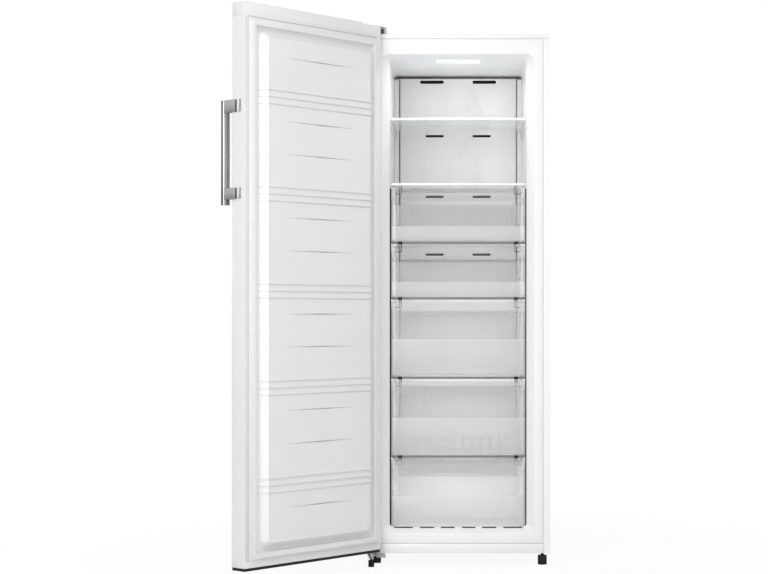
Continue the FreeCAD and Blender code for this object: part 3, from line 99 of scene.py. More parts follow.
class Graph:
    """Node tree of one material or of the world."""

    def __init__(self, tree: bpy.types.NodeTree) -> None:
        """Take a node tree and empty it."""
        self.tree = tree
        self.tree.nodes.clear()

    def node(self, kind: str, settings: Optional[dict[str, Any]] = None, **sockets: Any) -> bpy.types.Node:
        """Add a node, set it up, then fill its sockets.

        Args:
            kind: Type name of the node.
            settings: Properties of the node, set first.
            **sockets: Values or wires by socket name, with underscores for spaces; "_0" picks by number.

        Returns:
            The new node.
        """
        made = self.tree.nodes.new(kind)
        for key, value in (settings or {}).items():
            setattr(made, key, value)
        for key, value in sockets.items():
            slot = made.inputs[int(key[1:])] if key[1:].isdigit() else made.inputs[key.replace("_", " ")]
            if isinstance(value, Wire):
                self.tree.links.new(value.socket, slot)
            elif isinstance(value, bpy.types.NodeSocket):
                self.tree.links.new(value, slot)
            elif isinstance(value, tuple) and len(value) == 3 and slot.type == "RGBA":
                slot.default_value = (*value, 1.0)
            else:
                slot.default_value = value
        return made

    def maths(self, operation: str, *terms: Term) -> Wire:
        """Add a Math node.

        Args:
            operation: Its operation.
            *terms: Its inputs in order.

        Returns:
            Its result.
        """
        numbered = {f"_{index}": term for index, term in enumerate(terms)}
        return Wire(self, self.node("ShaderNodeMath", {"operation": operation}, **numbered).outputs[0])

    def place(self, scale: Triple = ONE) -> Wire:
        """Point on the piece in its own metres.

        Args:
            scale: Stretch of the pattern along each axis.

        Returns:
            The scaled point.
        """
        source = self.node("ShaderNodeTexCoord").outputs["Object"]
        return Wire(self, self.node("ShaderNodeMapping", Vector=source, Scale=scale).outputs[0])

    def noise(self, scale: float, detail: float = 3.0, stretch: Triple = ONE) -> Wire:
        """Cloudy pattern.

        Args:
            scale: Size of the pattern, higher is finer.
            detail: Octaves.
            stretch: Scale along each axis.

        Returns:
            A value about 0.5.
        """
        made = self.node("ShaderNodeTexNoise", Vector=self.place(stretch), Scale=scale, Detail=detail)
        return Wire(self, made.outputs["Fac"])

    def cells(self, scale: float) -> bpy.types.Node:
        """Voronoi cells in the piece's own metres."""
        return self.node("ShaderNodeTexVoronoi", Vector=self.place(), Scale=scale)

    def axis(self, name: str) -> Wire:
        """One coordinate of the point on the piece, "X", "Y" or "Z", in metres."""
        return Wire(self, self.node("ShaderNodeSeparateXYZ", Vector=self.place()).outputs[name])

    def mix(self, factor: Term, low: Union[Triple, Wire], high: Union[Triple, Wire]) -> Wire:
        """Blend two colours.

        Args:
            factor: Share of the second.
            low: Colour at 0.
            high: Colour at 1.

        Returns:
            The blended colour.
        """
        made = self.node("ShaderNodeMix", {"data_type": "RGBA"}, _0=factor, _6=low, _7=high)
        return Wire(self, made.outputs[2])

    def step(self, value: Wire, low: float, high: float) -> Wire:
        """Smooth step from 0 at low to 1 at high."""
        smooth = {"interpolation_type": "SMOOTHSTEP"}
        made = self.node("ShaderNodeMapRange", smooth, Value=value, From_Min=low, From_Max=high)
        return Wire(self, made.outputs[0])

    def band(self, value: Wire, low: float, high: float, soft: float) -> Wire:
        """1 between two values and 0 outside them.

        Args:
            value: What is tested.
            low: Where it starts.
            high: Where it ends.
            soft: Width of each edge.

        Returns:
            The band.
        """
        return self.step(value, low, low + soft) * (1.0 - self.step(value, high, high + soft))

    def bump(self, height: Wire, depth: float, strength: float) -> Wire:
        """Normal bent by a height.

        Args:
            height: Height between 0 and 1.
            depth: Metres that a height of 1 stands for.
            strength: Share of the effect.

        Returns:
            The bent normal.
        """
        made = self.node("ShaderNodeBump", Height=height, Distance=depth, Strength=strength)
        return Wire(self, made.outputs[0])

    def finish(self, **sockets: Any) -> None:
        """Close the tree with a Principled shader."""
        shader = self.node("ShaderNodeBsdfPrincipled", **sockets)
        self.node("ShaderNodeOutputMaterial", Surface=shader.outputs[0])


# ---- finishes
@dataclass(frozen=True)
class Finish:
    """A surface finish, made into a material once and shared."""

    name: str
    colour: Triple

    def paint(self, graph: Graph) -> None:
        """Fill the material's nodes, in each kind of finish in its own way."""
        raise NotImplementedError

    def tinted(self, share: float) -> Triple:
        """The colour at a share of its brightness."""
        return tuple(share * c for c in self.colour)

    def material(self) -> bpy.types.Material:
        """The finish as a material, made on first use."""
        found = bpy.data.materials.get(self.name)
        if found is None:
            found = bpy.data.materials.new(self.name)
            found.use_nodes = True
            self.paint(Graph(found.node_tree))
        return found


@dataclass(frozen=True)
class Enamel(Finish):
    """Baked paint with a faint orange peel."""

    rough: float = 0.3
    coat: float = 0.25
    coat_rough: float = 0.12
    peel: float = 420.0
    peel_depth: float = 0.05 * MM
    smudges: float = 9.0
    drift: float = 2.4
    tint: float = 0.965

    def paint(self, graph: Graph) -> None:
        """Fill the nodes."""
        drift = graph.noise(self.drift, 2.0)
        peel = graph.noise(self.peel, 2.0)
        smudge = graph.noise(self.smudges, 5.0)
        graph.finish(
            Base_Color=graph.mix(drift * 0.8, self.colour, self.tinted(self.tint)),
            Roughness=self.rough - 0.05 + 0.1 * smudge,
            Coat_Weight=self.coat,
            Coat_Roughness=self.coat_rough,
            Normal=graph.bump(peel, self.peel_depth, 0.5),
        )


@dataclass(frozen=True)
class Moulded(Finish):
    """Moulded or formed plastic with a fine grain and slow waves."""

    rough: float = 0.4
    grain: float = 900.0
    grain_depth: float = 0.04 * MM
    waves: float = 0.0
    wave_scale: float = 7.0
    cloud_scale: float = 5.0
    smudges: float = 30.0
    shine: float = 0.5
    tint: float = 0.95

    def paint(self, graph: Graph) -> None:
        """Fill the nodes."""
        grain = graph.noise(self.grain, 2.0)
        cloud = graph.noise(self.cloud_scale, 3.0)
        wave = graph.noise(self.wave_scale, 1.0)
        fine = graph.bump(grain, self.grain_depth, 0.6)
        soft = graph.node("ShaderNodeBump", Height=wave, Distance=self.waves, Strength=0.5, Normal=fine)
        graph.finish(
            Base_Color=graph.mix(cloud, self.colour, self.tinted(self.tint)),
            Roughness=self.rough - 0.06 + 0.12 * graph.noise(self.smudges, 4.0),
            Specular_IOR_Level=self.shine,
            Normal=soft.outputs[0],
        )


@dataclass(frozen=True)
class Zone:
    """Part of a clear piece with its own shade, painted shade where below 1, and added opacity, between two
    Y values and two heights.
    """

    near: float
    far: float
    shade: float
    closed: float
    low: float = -9.0
    high: float = 9.0


@dataclass(frozen=True)
class Clear(Finish):
    """Milky see-through plastic or glass that closes towards its grazing edges and past its flanks."""

    body: float = 0.5
    rim: float = 0.85
    rough: float = 0.12
    tint: float = 0.93
    ripple: float = 0.1 * MM
    facing: float = 0.35
    flow_stretch: Triple = (1.0, 1.0, 4.0)
    flank: float = 9.0
    flank_closed: float = 0.45
    flank_soft: float = 0.8 * MM
    depth_soft: float = 0.5 * MM
    level_soft: float = 2.0 * MM
    zones: Sequence[Zone] = ()

    def paint(self, graph: Graph) -> None:
        """Fill the nodes."""
        weight = graph.node("ShaderNodeLayerWeight", Blend=self.facing)
        grazing = Wire(graph, weight.outputs["Facing"])
        flow = graph.noise(6.0, 3.0, self.flow_stretch)
        depth, level = graph.axis("Y"), graph.axis("Z")
        tone = graph.mix(flow, self.colour, self.tinted(self.tint))
        alpha = self.body * (0.8 + 0.4 * flow) + (self.rim - self.body) * grazing
        for zone in self.zones:
            inside = graph.band(depth, zone.near, zone.far, self.depth_soft)
            inside = inside * graph.band(level, zone.low, zone.high, self.level_soft)
            # A zone's shade below 1 darkens the colour as painted shade.
            tone = graph.mix(inside, tone, self.tinted(zone.shade))
            alpha = alpha + zone.closed * inside
        aside = graph.maths("ABSOLUTE", graph.axis("X"))
        alpha = alpha + self.flank_closed * graph.step(aside, self.flank, self.flank + self.flank_soft)
        graph.finish(
            Base_Color=tone,
            Roughness=self.rough + 0.06 * graph.noise(40.0, 3.0),
            Alpha=alpha.clamped(),
            Normal=graph.bump(graph.noise(60.0, 2.0), self.ripple, 0.4),
        )


@dataclass(frozen=True)
class Brushed(Finish):
    """Metal brushed along one axis."""

    rough: float = 0.3
    stretch: Triple = (900.0, 900.0, 12.0)
    groove: float = 0.06 * MM
    tint: float = 0.78

    def tone(self, graph: Graph, lines: Wire) -> Wire:
        """Colour of the metal along its brush lines."""
        return graph.mix(lines, self.tinted(self.tint), self.colour)

    def paint(self, graph: Graph) -> None:
        """Fill the nodes."""
        lines = graph.noise(1.0, 4.0, self.stretch)
        graph.finish(
            Base_Color=self.tone(graph, lines),
            Metallic=1.0,
            Roughness=self.rough - 0.1 + 0.2 * lines,
            Normal=graph.bump(lines, self.groove, 0.6),
        )


@dataclass(frozen=True)
class HighlightStriped(Brushed):
    """Brushed metal with a painted highlight: one bright stripe between two dark stripes of painted
    reflection, by its X on the open door.
    """

    low: float = 0.0
    high: float = 0.0
    dark: float = 0.3
    soft: float = 1.0 * MM

    def tone(self, graph: Graph, lines: Wire) -> Wire:
        """Colour of the metal across its painted highlight and painted dark reflections."""
        # Painted highlight inside the band, painted dark reflection outside it.
        bright = graph.band(graph.axis("X"), self.low, self.high, self.soft)
        return graph.mix(bright * (0.8 + 0.2 * lines), self.tinted(self.dark), self.colour)


@dataclass(frozen=True)
class Spangled(Finish):
    """Zinc-coated sheet with its crystal pattern."""

    rough: float = 0.4
    size: float = 90.0
    tint: float = 0.72
    pits: float = 220.0
    pit_depth: float = 0.05 * MM

    def paint(self, graph: Graph) -> None:
        """Fill the nodes."""
        crystal = graph.cells(self.size)
        tone = graph.node("ShaderNodeSeparateColor", Color=crystal.outputs["Color"])
        value = Wire(graph, tone.outputs[0])
        graph.finish(
            Base_Color=graph.mix(value, self.tinted(self.tint), self.colour),
            Metallic=0.9,
            Roughness=self.rough - 0.08 + 0.16 * value,
            Normal=graph.bump(graph.noise(self.pits, 3.0), self.pit_depth, 0.5),
        )


@dataclass(frozen=True)
class Plated(Finish):
    """Pressed or turned steel with a bright plating and faint handling marks."""

    rough: float = 0.28
    tint: float = 0.7
    marks: float = 70.0
    pits: float = 350.0
    pit_depth: float = 0.04 * MM

    def paint(self, graph: Graph) -> None:
        """Fill the nodes."""
        marks = graph.noise(self.marks, 5.0)
        graph.finish(
            Base_Color=graph.mix(marks, self.tinted(self.tint), self.colour),
            Metallic=1.0,
            Roughness=self.rough - 0.08 + 0.2 * marks,
            Normal=graph.bump(graph.noise(self.pits, 2.0), self.pit_depth, 0.5),
        )


@dataclass(frozen=True)
class Beaded(Finish):
    """Foam of pressed beads."""

    rough: float = 0.85
    size: float = 240.0
    tint: float = 0.75
    bead_depth: float = 0.8 * MM

    def paint(self, graph: Graph) -> None:
        """Fill the nodes."""
        grey_strip = Wire(graph, graph.cells(self.size).outputs["Distance"])
        graph.finish(
            Base_Color=graph.mix(grey_strip.clamped(), self.colour, self.tinted(self.tint)),
            Roughness=self.rough,
            Normal=graph.bump(1.0 - grey_strip, self.bead_depth, 0.7),
        )


@dataclass(frozen=True)
class Glowing(Finish):
    """Frosted cover with light behind it."""

    rough: float = 0.35
    strength: float = 1.0
    tint: float = 0.94
    frost: float = 300.0
    frost_depth: float = 0.06 * MM

    def paint(self, graph: Graph) -> None:
        """Fill the nodes."""
        frost = graph.noise(self.frost, 3.0)
        graph.finish(
            Base_Color=self.colour,
            Roughness=self.rough + 0.15 * frost,
            Emission_Color=graph.mix(frost, self.colour, self.tinted(self.tint)),
            Emission_Strength=self.strength,
            Normal=graph.bump(frost, self.frost_depth, 0.5),
        )


class Palette(Enum):
    """Finishes of the freezer's pieces."""

    ENAMEL = Enamel("enamel_white", (0.90, 0.888, 0.90))
    CAP = Moulded("cap_white", (0.85, 0.838, 0.85), rough=0.38, waves=0.2 * MM)
    LINER = Moulded("liner_white", (0.90, 0.887, 0.90), rough=0.36, waves=0.6 * MM)
    # The door liner's white, a little darker than the cabinet liner's as painted shade.
    DOOR_LINER = Moulded("door_liner_shaded_white", (0.86, 0.847, 0.86), rough=0.36, waves=0.6 * MM)
    PANEL = Moulded("duct_panel_white", (0.89, 0.876, 0.89), rough=0.45, waves=0.6 * MM)
    TRIM = Moulded("shelf_trim_white", (0.92, 0.908, 0.92), rough=0.3)
    DRAWER = Clear(
        "drawer_clear", (0.92, 0.907, 0.92),
        body=0.014, rim=0.30, rough=0.16, flank=0.2045, flank_closed=0.4,
        zones=(
            # The pull band is darkened as painted shade in its recess; the step and the first two fronts
            # only add opacity.
            Zone(-0.28, -0.2608, 0.72, 0.02),
            Zone(-0.2517, -0.2508, 1.0, 0.42),
            Zone(-0.2502, -0.2488, 1.0, 0.22, 1.04, 1.168),
            Zone(-0.2502, -0.2488, 1.0, 0.22, 0.86, 0.982),
        ),
    )
    TALL_DRAWER = Clear(
        "tall_drawer_clear", (0.92, 0.907, 0.92),
        body=0.12, rim=0.38, rough=0.16, flank=0.2045, flank_closed=0.35,
        # The pull band and the step are both darkened as painted shade, with added opacity.
        zones=(Zone(-0.28, -0.2608, 0.80, 0.05), Zone(-0.2517, -0.2508, 0.76, 0.48)),
    )
    GLASS = Clear("shelf_glass", (0.93, 0.917, 0.93), body=0.18, rim=0.6, rough=0.03, ripple=0.02 * MM)
    SEAL = Moulded("seal_grey_white", (0.84, 0.828, 0.84), rough=0.55, grain=1400.0)
    # Black plastic, and painted shade of the left wall strip and of the pads under the lowest drawer.
    BLACK = Moulded("plastic_black_and_shade", (0.014, 0.014, 0.015), rough=0.5, grain=1100.0, shine=0.2)
    SEAM = Moulded("seam_grey", (0.30, 0.297, 0.30), rough=0.6, grain=1200.0)
    # Painted shade of the gaps under the lower shelves' fronts.
    LIP = Moulded("shelf_shade_grey", (0.19, 0.187, 0.19), rough=0.5, grain=1000.0)
    # Dark grey of the hooks and the hinge stop, and painted shade of the right wall strip.
    HOOK = Moulded("hook_and_shade_grey", (0.09, 0.089, 0.09), rough=0.45, grain=1000.0, shine=0.25)
    GREY = Moulded("plastic_grey", (0.32, 0.32, 0.33), rough=0.4)
    # Handle bar and caps: brushed metal with painted highlight stripes.
    BAR = HighlightStriped("handle_brushed_and_highlight", (0.86, 0.85, 0.86), rough=0.34, low=-0.7030, high=-0.6938, dark=0.27)
    HANDLE_CAP = HighlightStriped("handle_cap", (0.92, 0.91, 0.92), low=-0.6576, high=-0.6494, dark=0.07)
    # Greys of the door's painted shade lines; the lighter one also colours the grey strip on its free edge.
    CREASE = Moulded("crease_shade", (0.40, 0.394, 0.40), rough=0.6)
    RIB_SHADE = Moulded("rib_shade", (0.74, 0.73, 0.74), rough=0.6)
    BRACKET = Brushed("bracket_satin", (0.50, 0.495, 0.50), rough=0.4, stretch=(600.0, 600.0, 60.0))
    STEEL = Plated("hinge_plated", (0.55, 0.55, 0.56))
    ZINC = Spangled("sheet_zinc", (0.62, 0.63, 0.64))
    RUBBER = Moulded("rubber_black", (0.022, 0.022, 0.022), rough=0.7, grain=700.0)
    SHELL = Enamel("compressor_black", (0.02, 0.02, 0.022), rough=0.32)
    COIL = Brushed("tube_aluminium", (0.66, 0.67, 0.68), rough=0.3, stretch=(12.0, 700.0, 700.0))
    FIN = Brushed("fin_aluminium", (0.70, 0.71, 0.72), rough=0.34, stretch=(500.0, 500.0, 20.0))
    FOAM = Beaded("foam_cream", (0.72, 0.68, 0.56), size=500.0)
    DUCT_FOAM = Beaded("foam_charcoal", (0.05, 0.05, 0.052))
    BOARD = Enamel("lamp_board_white", (0.7, 0.72, 0.7), rough=0.45)
    LAMP = Glowing("lamp_frosted", (0.95, 0.95, 0.96), strength=0.18)
    NYLON = Moulded("nylon_natural", (0.66, 0.65, 0.61), rough=0.45)

    def material(self) -> bpy.types.Material:
        """The finish's shared material."""
        return self.value.material()


# ---- modelling
class Bench:
    """Modelling moves made with Blender's own operators on one piece at a time."""

    @staticmethod
    def clear() -> None:
        """Leave edit mode and deselect everything."""
        if bpy.context.object and bpy.context.object.mode != "OBJECT":
            bpy.ops.object.mode_set(mode="OBJECT")
        bpy.ops.object.select_all(action="DESELECT")

    @staticmethod
    def take(piece: Piece) -> Piece:
        """Make one piece the only selected and active one."""
        Bench.clear()
        piece.select_set(True)
        bpy.context.view_layer.objects.active = piece
        return piece

    @staticmethod
    def edit(piece: Piece, mode: str = "FACE") -> None:
        """Open a piece in edit mode with nothing selected.

        Args:
            piece: The piece.
            mode: What is selected: VERT, EDGE or FACE.
        """
        Bench.take(piece)
        bpy.ops.object.mode_set(mode="EDIT")
        bpy.ops.mesh.select_mode(type=mode)
        bpy.ops.mesh.select_all(action="DESELECT")

    @staticmethod
    def pick_faces(piece: Piece, test: Callable[[Vector, Vector], bool]) -> None:
        """Select the faces of a piece in edit mode that pass a test of centre and normal.

        Args:
            piece: The piece, open in edit mode.
            test: Takes a face's centre and normal.
        """
        mesh = bmesh.from_edit_mesh(piece.data)
        for face in mesh.faces:
            face.select_set(test(face.calc_center_median(), face.normal))
        bmesh.update_edit_mesh(piece.data)

    @staticmethod
    def modify(piece: Piece, kind: str, **settings: Any) -> None:
        """Add a modifier and apply it.

        Args:
            piece: The piece.
            kind: Type of the modifier.
            **settings: Its properties.
        """
        Bench.take(piece)
        modifier = piece.modifiers.new("step", kind)
        for key, value in settings.items():
            setattr(modifier, key, value)
        bpy.ops.object.modifier_apply(modifier=modifier.name)

    @staticmethod
    def rounded(
        piece: Piece, width: float, segments: int = 2, angle: float = 40.0, smooth: float = SMOOTH,
    ) -> None:
        """Round the sharp edges and shade smooth.

        Args:
            piece: The piece.
            width: Width of the rounding.
            segments: Faces across it.
            angle: Least turn in degrees that counts as an edge.
            smooth: Greatest turn in degrees that is shaded smooth.
        """
        Bench.modify(
            piece, "BEVEL", width=width, segments=segments, limit_method="ANGLE",
            angle_limit=radians(angle), use_clamp_overlap=True,
        )
        Bench.take(piece)
        bpy.ops.object.shade_smooth_by_angle(angle=radians(smooth))

    @staticmethod
    def settled(piece: Piece) -> Piece:
        """Apply a piece's place to its mesh, turn its faces outwards and give it back."""
        Bench.take(piece)
        bpy.ops.object.transform_apply(location=True, rotation=True, scale=True)
        bpy.ops.object.mode_set(mode="EDIT")
        bpy.ops.mesh.select_all(action="SELECT")
        bpy.ops.mesh.remove_doubles(threshold=WELD_PIECE)
        bpy.ops.mesh.normals_make_consistent(inside=False)
        bpy.ops.object.mode_set(mode="OBJECT")
        return piece

    @staticmethod
    def block(name: str, low: Sequence[float], high: Sequence[float], edge: float) -> Piece:
        """Make a block with rounded edges between two corners.

        Args:
            name: Name of the piece.
            low: Its least X, Y and Z.
            high: Its greatest X, Y and Z.
            edge: Width of the rounding, or 0 to leave it for later.

        Returns:
            The piece.
        """
        Bench.clear()
        least, most = Vector(low), Vector(high)
        bpy.ops.mesh.primitive_cube_add(size=1.0, location=(least + most) / 2, scale=most - least)
        piece = bpy.context.object
        piece.name = name
        Bench.settled(piece)
        if edge > 0.0:
            Bench.rounded(piece, edge)
        return piece

    @staticmethod
    def split(piece: Piece, place: Triple, normal: Triple) -> None:
        """Cut all faces of a piece along a plane and leave it in edit mode.

        Args:
            piece: The piece.
            place: A point of the plane.
            normal: Its normal.
        """
        Bench.edit(piece, "VERT")
        bpy.ops.mesh.select_all(action="SELECT")
        bpy.ops.mesh.bisect(plane_co=place, plane_no=normal)

    @staticmethod
    def from_solid(node: str) -> Piece:
        """Copy a solid's mesh into a clean piece with its loose triangles merged."""
        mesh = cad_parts[node].data.copy()
        mesh.materials.clear()
        piece = bpy.data.objects.new(f"{node}_soft", mesh)
        bpy.context.scene.collection.objects.link(piece)
        Bench.edit(piece, "VERT")
        bpy.ops.mesh.select_all(action="SELECT")
        bpy.ops.mesh.remove_doubles(threshold=WELD_SOLID)
        bpy.ops.mesh.dissolve_limited(angle_limit=radians(FLAT_TURN))
        bpy.ops.object.mode_set(mode="OBJECT")
        if piece.data.has_custom_normals:
            bpy.ops.mesh.customdata_custom_splitnormals_clear()
        return piece

    @staticmethod
    def copied(piece: Piece, name: str, shift: Vector) -> Piece:
        """Copy a piece with its own mesh, moved by a shift.

        Args:
            piece: The model piece.
            name: Name of the copy.
            shift: Move from the model piece.

        Returns:
            The copy.
        """
        twin = piece.copy()
        twin.data = piece.data.copy()
        twin.name = name
        twin.data.transform(Matrix.Translation(shift))
        bpy.context.scene.collection.objects.link(twin)
        return twin


def worn(
    piece: Piece, finish: Palette, body: str, stands_for: Sequence[str] = (),
) -> Piece:
    """Give a piece its finish and its body.

    Args:
        piece: The piece.
        finish: Its finish.
        body: The body it rides on.
        stands_for: Solids that it replaces.

    Returns:
        The piece.
    """
    piece.data.materials.clear()
    piece.data.materials.append(finish.material())
    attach(piece, body)
    if stands_for:
        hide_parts(*stands_for)
    LOG.info("piece %s on %s, %d faces", piece.name, body, len(piece.data.polygons))
    return piece


def dressed(finish: Palette, *nodes: str) -> None:
    """Give solids that stay in view their finish."""
    for node in nodes:
        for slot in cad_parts[node].material_slots:
            slot.material = finish.material()
        LOG.info("solid %s in %s", node, finish.name)


def softened(
    node: str, finish: Palette, body: str, width: float, segments: int = 2, smooth: float = SMOOTH,
) -> Piece:
    """Replace a solid by a copy of it with rounded edges.

    Args:
        node: The solid.
        finish: Its finish.
        body: The body it rides on.
        width: Width of the rounding.
        segments: Faces across it.
        smooth: Greatest turn in degrees that is shaded smooth.

    Returns:
        The new piece.
    """
    piece = Bench.from_solid(node)
    Bench.rounded(piece, width, segments, smooth=smooth)
    return worn(piece, finish, body, [node])


def scrapped(*pieces: Piece) -> None:
    """Take model pieces away once they have been copied."""
    for piece in pieces:
        bpy.data.objects.remove(piece)


def raised(level: float) -> Vector:
    """A move straight up, given in millimetres."""
    return Vector((0.0, 0.0, level * MM))


# ---- sub-assemblies
@dataclass
class Cabinet:
    """Outer shell of the cabinet."""

    edge: float = 1.6 * MM
    sheet_edge: float = 0.5 * MM
    front: float = -291.5 * MM
    seam_x: float = 274.9 * MM
    side_top: float = 1704.0 * MM
    rail_top: float = 72.5 * MM
    underside: float = 41.0 * MM
    back_edge: float = 0.2 * MM
    bead_width: float = 1.3 * MM
    bead_depths: Pair = (0.1 * MM, 1.0 * MM)
    bead_and_grey_strip_edge: float = 0.15 * MM

    def build(self) -> None:
        """Soften the shell's pieces and dress them."""
        for side in ("left_side_panel", "right_side_panel"):
            panel = softened(side, Palette.ENAMEL, "cabinet", self.sheet_edge)
            Bench.modify(panel, "WEIGHTED_NORMAL", **EVEN_FACES)
        softened("top_cover", Palette.ENAMEL, "cabinet", self.edge)
        softened("bottom_front_rail", Palette.ENAMEL, "cabinet", self.sheet_edge)
        softened("back_panel", Palette.ZINC, "cabinet", self.back_edge, 1)
        dressed(Palette.ZINC, "base_pan")
        dressed(Palette.FOAM, "cabinet_foam")
        self.beads()

    def beads(self) -> None:
        """Fill the seams between the front flange and the sheets round it."""
        half = self.bead_width / 2
        front, behind = self.front - self.bead_depths[0], self.front + self.bead_depths[1]
        low, high = self.rail_top, self.side_top
        runs = {
            "left_bead": ((-self.seam_x - half, front, low), (-self.seam_x + half, behind, high)),
            "right_bead": ((self.seam_x - half, front, self.underside), (self.seam_x + half, behind, high)),
            "top_bead": ((-self.seam_x, front, high - half), (self.seam_x, behind, high + half)),
            "bottom_bead": ((-self.seam_x, front, low - half), (self.seam_x, behind, low + half)),
        }
        for name, (least, most) in runs.items():
            worn(Bench.block(name, least, most, self.bead_and_grey_strip_edge), Palette.SEAM, "cabinet")


@dataclass
class ColdRoom:
    """Formed liner, its lamp, and the shelves with what carries them."""

    liner_edge: float = 2.2 * MM
    glass_edge: float = 0.8 * MM
    trim_edge: float = 0.7 * MM
    rail_edge: float = 1.2 * MM
    clip_edge: float = 0.6 * MM
    lamp_edge: float = 0.4 * MM
    shelves: int = 6

    def build(self) -> None:
        """Soften the room's pieces and dress them."""
        softened("inner_liner", Palette.LINER, "cabinet", self.liner_edge, 3)
        for number in range(1, self.shelves + 1):
            softened(f"shelf_{number}", Palette.GLASS, "cabinet", self.glass_edge)
        softened("shelf_trims", Palette.TRIM, "cabinet", self.trim_edge)
        softened("shelf_rails", Palette.TRIM, "cabinet", self.rail_edge)
        softened("shelf_clips", Palette.BLACK, "cabinet", self.clip_edge)
        softened("lamp_cover", Palette.LAMP, "cabinet", self.lamp_edge)
        dressed(Palette.BOARD, "lamp_board")


@dataclass
class RoomTrim:
    """Small trim of the cold room, with dark strips and pads of painted shade in its gaps. Pads, undersides
    and shelf shade tops are in millimetres, the rest in metres.
    """

    front: float = -291.5 * MM
    wall: float = 222.0 * MM
    # Dark pads under the lowest drawer's front: painted shade of the gaps there.
    shade_pads: Sequence[Pair] = (
        (-177.5, 62.0), (-100.5, 46.0), (-34.0, 44.0), (34.0, 44.0), (100.5, 46.0), (177.5, 62.0),
    )
    shade_pad_depths: Pair = (20.5 * MM, 29.5 * MM)
    shade_pad_levels: Pair = (115.6 * MM, 123.2 * MM)
    wide_edge: float = 0.8 * MM
    # Dark strips on the side walls beside the drawers: painted shade of the gaps there.
    shade_strip_depths: Pair = (27.0 * MM, 40.4 * MM)
    shade_strip_levels: Pair = (126.5 * MM, 1222.0 * MM)
    shade_strip_width: float = 4.6 * MM
    shade_strip_gap: float = 0.05 * MM
    shade_strip_edge: float = 0.6 * MM
    duct_half: float = 205.3 * MM
    duct_gap: float = 0.1 * MM
    duct_depths: Pair = (431.5 * MM, 436.0 * MM)
    duct_levels: Pair = (303.0 * MM, 1628.0 * MM)
    undersides: Sequence[float] = (1234.0, 1046.0, 865.0, 607.0, 351.0)
    hook_depths: Pair = (52.0 * MM, 54.5 * MM)
    hook_line: float = 2.4 * MM
    hook_x: float = 183.5 * MM
    hook_drop: float = 30.0 * MM
    hook_foot: float = 18.0 * MM
    hook_gap: float = 0.2 * MM
    small_edge: float = 0.5 * MM
    # Dark strips under the lower shelves' fronts: painted shade of the gaps between the drawers.
    shelf_shade_tops: Sequence[float] = (1050.0, 869.0, 611.0, 355.0)
    shelf_shade_half: float = 216.5 * MM
    shelf_shade_front: float = -258.6 * MM
    shelf_shade_depth: float = 1.0 * MM
    shelf_shade_height: float = 7.6 * MM
    shelf_shade_gap: float = 0.2 * MM
    shelf_shade_edge: float = 0.3 * MM
    stop_x: float = 192.0 * MM
    stop_half: float = 3.8 * MM
    stop_depths: Pair = (1.6 * MM, 0.4 * MM)
    stop_reach: float = 0.6 * MM
    stop_gap: float = 0.4 * MM

    def upright(
        self, name: str, wide: Pair, depths: Pair, levels: Pair, edge: float, finish: Palette,
    ) -> None:
        """Set one block that is measured back from the cabinet's front.

        Args:
            name: Its name.
            wide: X of its two sides, in either order.
            depths: Its front and back behind the cabinet's front.
            levels: Its foot and top.
            edge: Width of its rounding.
            finish: Its finish.
        """
        low = (min(wide), self.front + depths[0], levels[0])
        high = (max(wide), self.front + depths[1], levels[1])
        worn(Bench.block(name, low, high, edge), finish, "cabinet")

    def shade_pad(self, number: int) -> None:
        """Set one dark pad of painted shade along the front edge of the room's floor, under the lowest
        drawer.
        """
        centre, length = self.shade_pads[number]
        wide = ((centre - length / 2) * MM, (centre + length / 2) * MM)
        name = f"floor_shade_pad_{number + 1}"
        self.upright(name, wide, self.shade_pad_depths, self.shade_pad_levels, self.wide_edge, Palette.BLACK)

    def shade_and_duct_strips(self, side: int, label: str, finish: Palette) -> None:
        """Set the dark wall strip of painted shade beside the drawers, and the duct strip, of one side.

        Args:
            side: -1 for the left wall, 1 for the right one.
            label: The side's name.
            finish: Colour of the wall strip's painted shade.
        """
        wide = (side * (self.wall - self.shade_strip_width), side * (self.wall - self.shade_strip_gap))
        name = f"{label}_wall_strip"
        self.upright(name, wide, self.shade_strip_depths, self.shade_strip_levels, self.shade_strip_edge, finish)
        wide = (side * self.duct_half, side * (self.wall - self.duct_gap))
        name = f"{label}_duct_strip"
        self.upright(name, wide, self.duct_depths, self.duct_levels, self.wide_edge, Palette.PANEL)

    def shelf_shade_strips(self) -> None:
        """Model one dark strip of painted shade under a shelf's front, with its two stops, and copy it along
        the lower shelves.
        """
        top = self.shelf_shade_tops[0] * MM
        low = (-self.shelf_shade_half, self.shelf_shade_front, top - self.shelf_shade_height)
        high = (self.shelf_shade_half, self.shelf_shade_front + self.shelf_shade_depth, top - self.shelf_shade_gap)
        shelf_shade = Bench.block("shelf_shade", low, high, self.shelf_shade_edge)
        foot = top - self.shelf_shade_height - self.stop_reach
        low = (-self.stop_x - self.stop_half, self.shelf_shade_front - self.stop_depths[0], foot)
        high = (-self.stop_x + self.stop_half, self.shelf_shade_front + self.stop_depths[1], top - self.stop_gap)
        stop = Bench.block("stop", low, high, self.small_edge)
        for number, level in enumerate(self.shelf_shade_tops, start=1):
            drop = raised(level - self.shelf_shade_tops[0])
            worn(Bench.copied(shelf_shade, f"shelf_shade_strip_{number}", drop), Palette.LIP, "cabinet")
            worn(Bench.copied(stop, f"left_shelf_stop_{number}", drop), Palette.BLACK, "cabinet")
            shift = drop + Vector((2 * self.stop_x, 0.0, 0.0))
            worn(Bench.copied(stop, f"right_shelf_stop_{number}", shift), Palette.BLACK, "cabinet")
        scrapped(shelf_shade, stop)

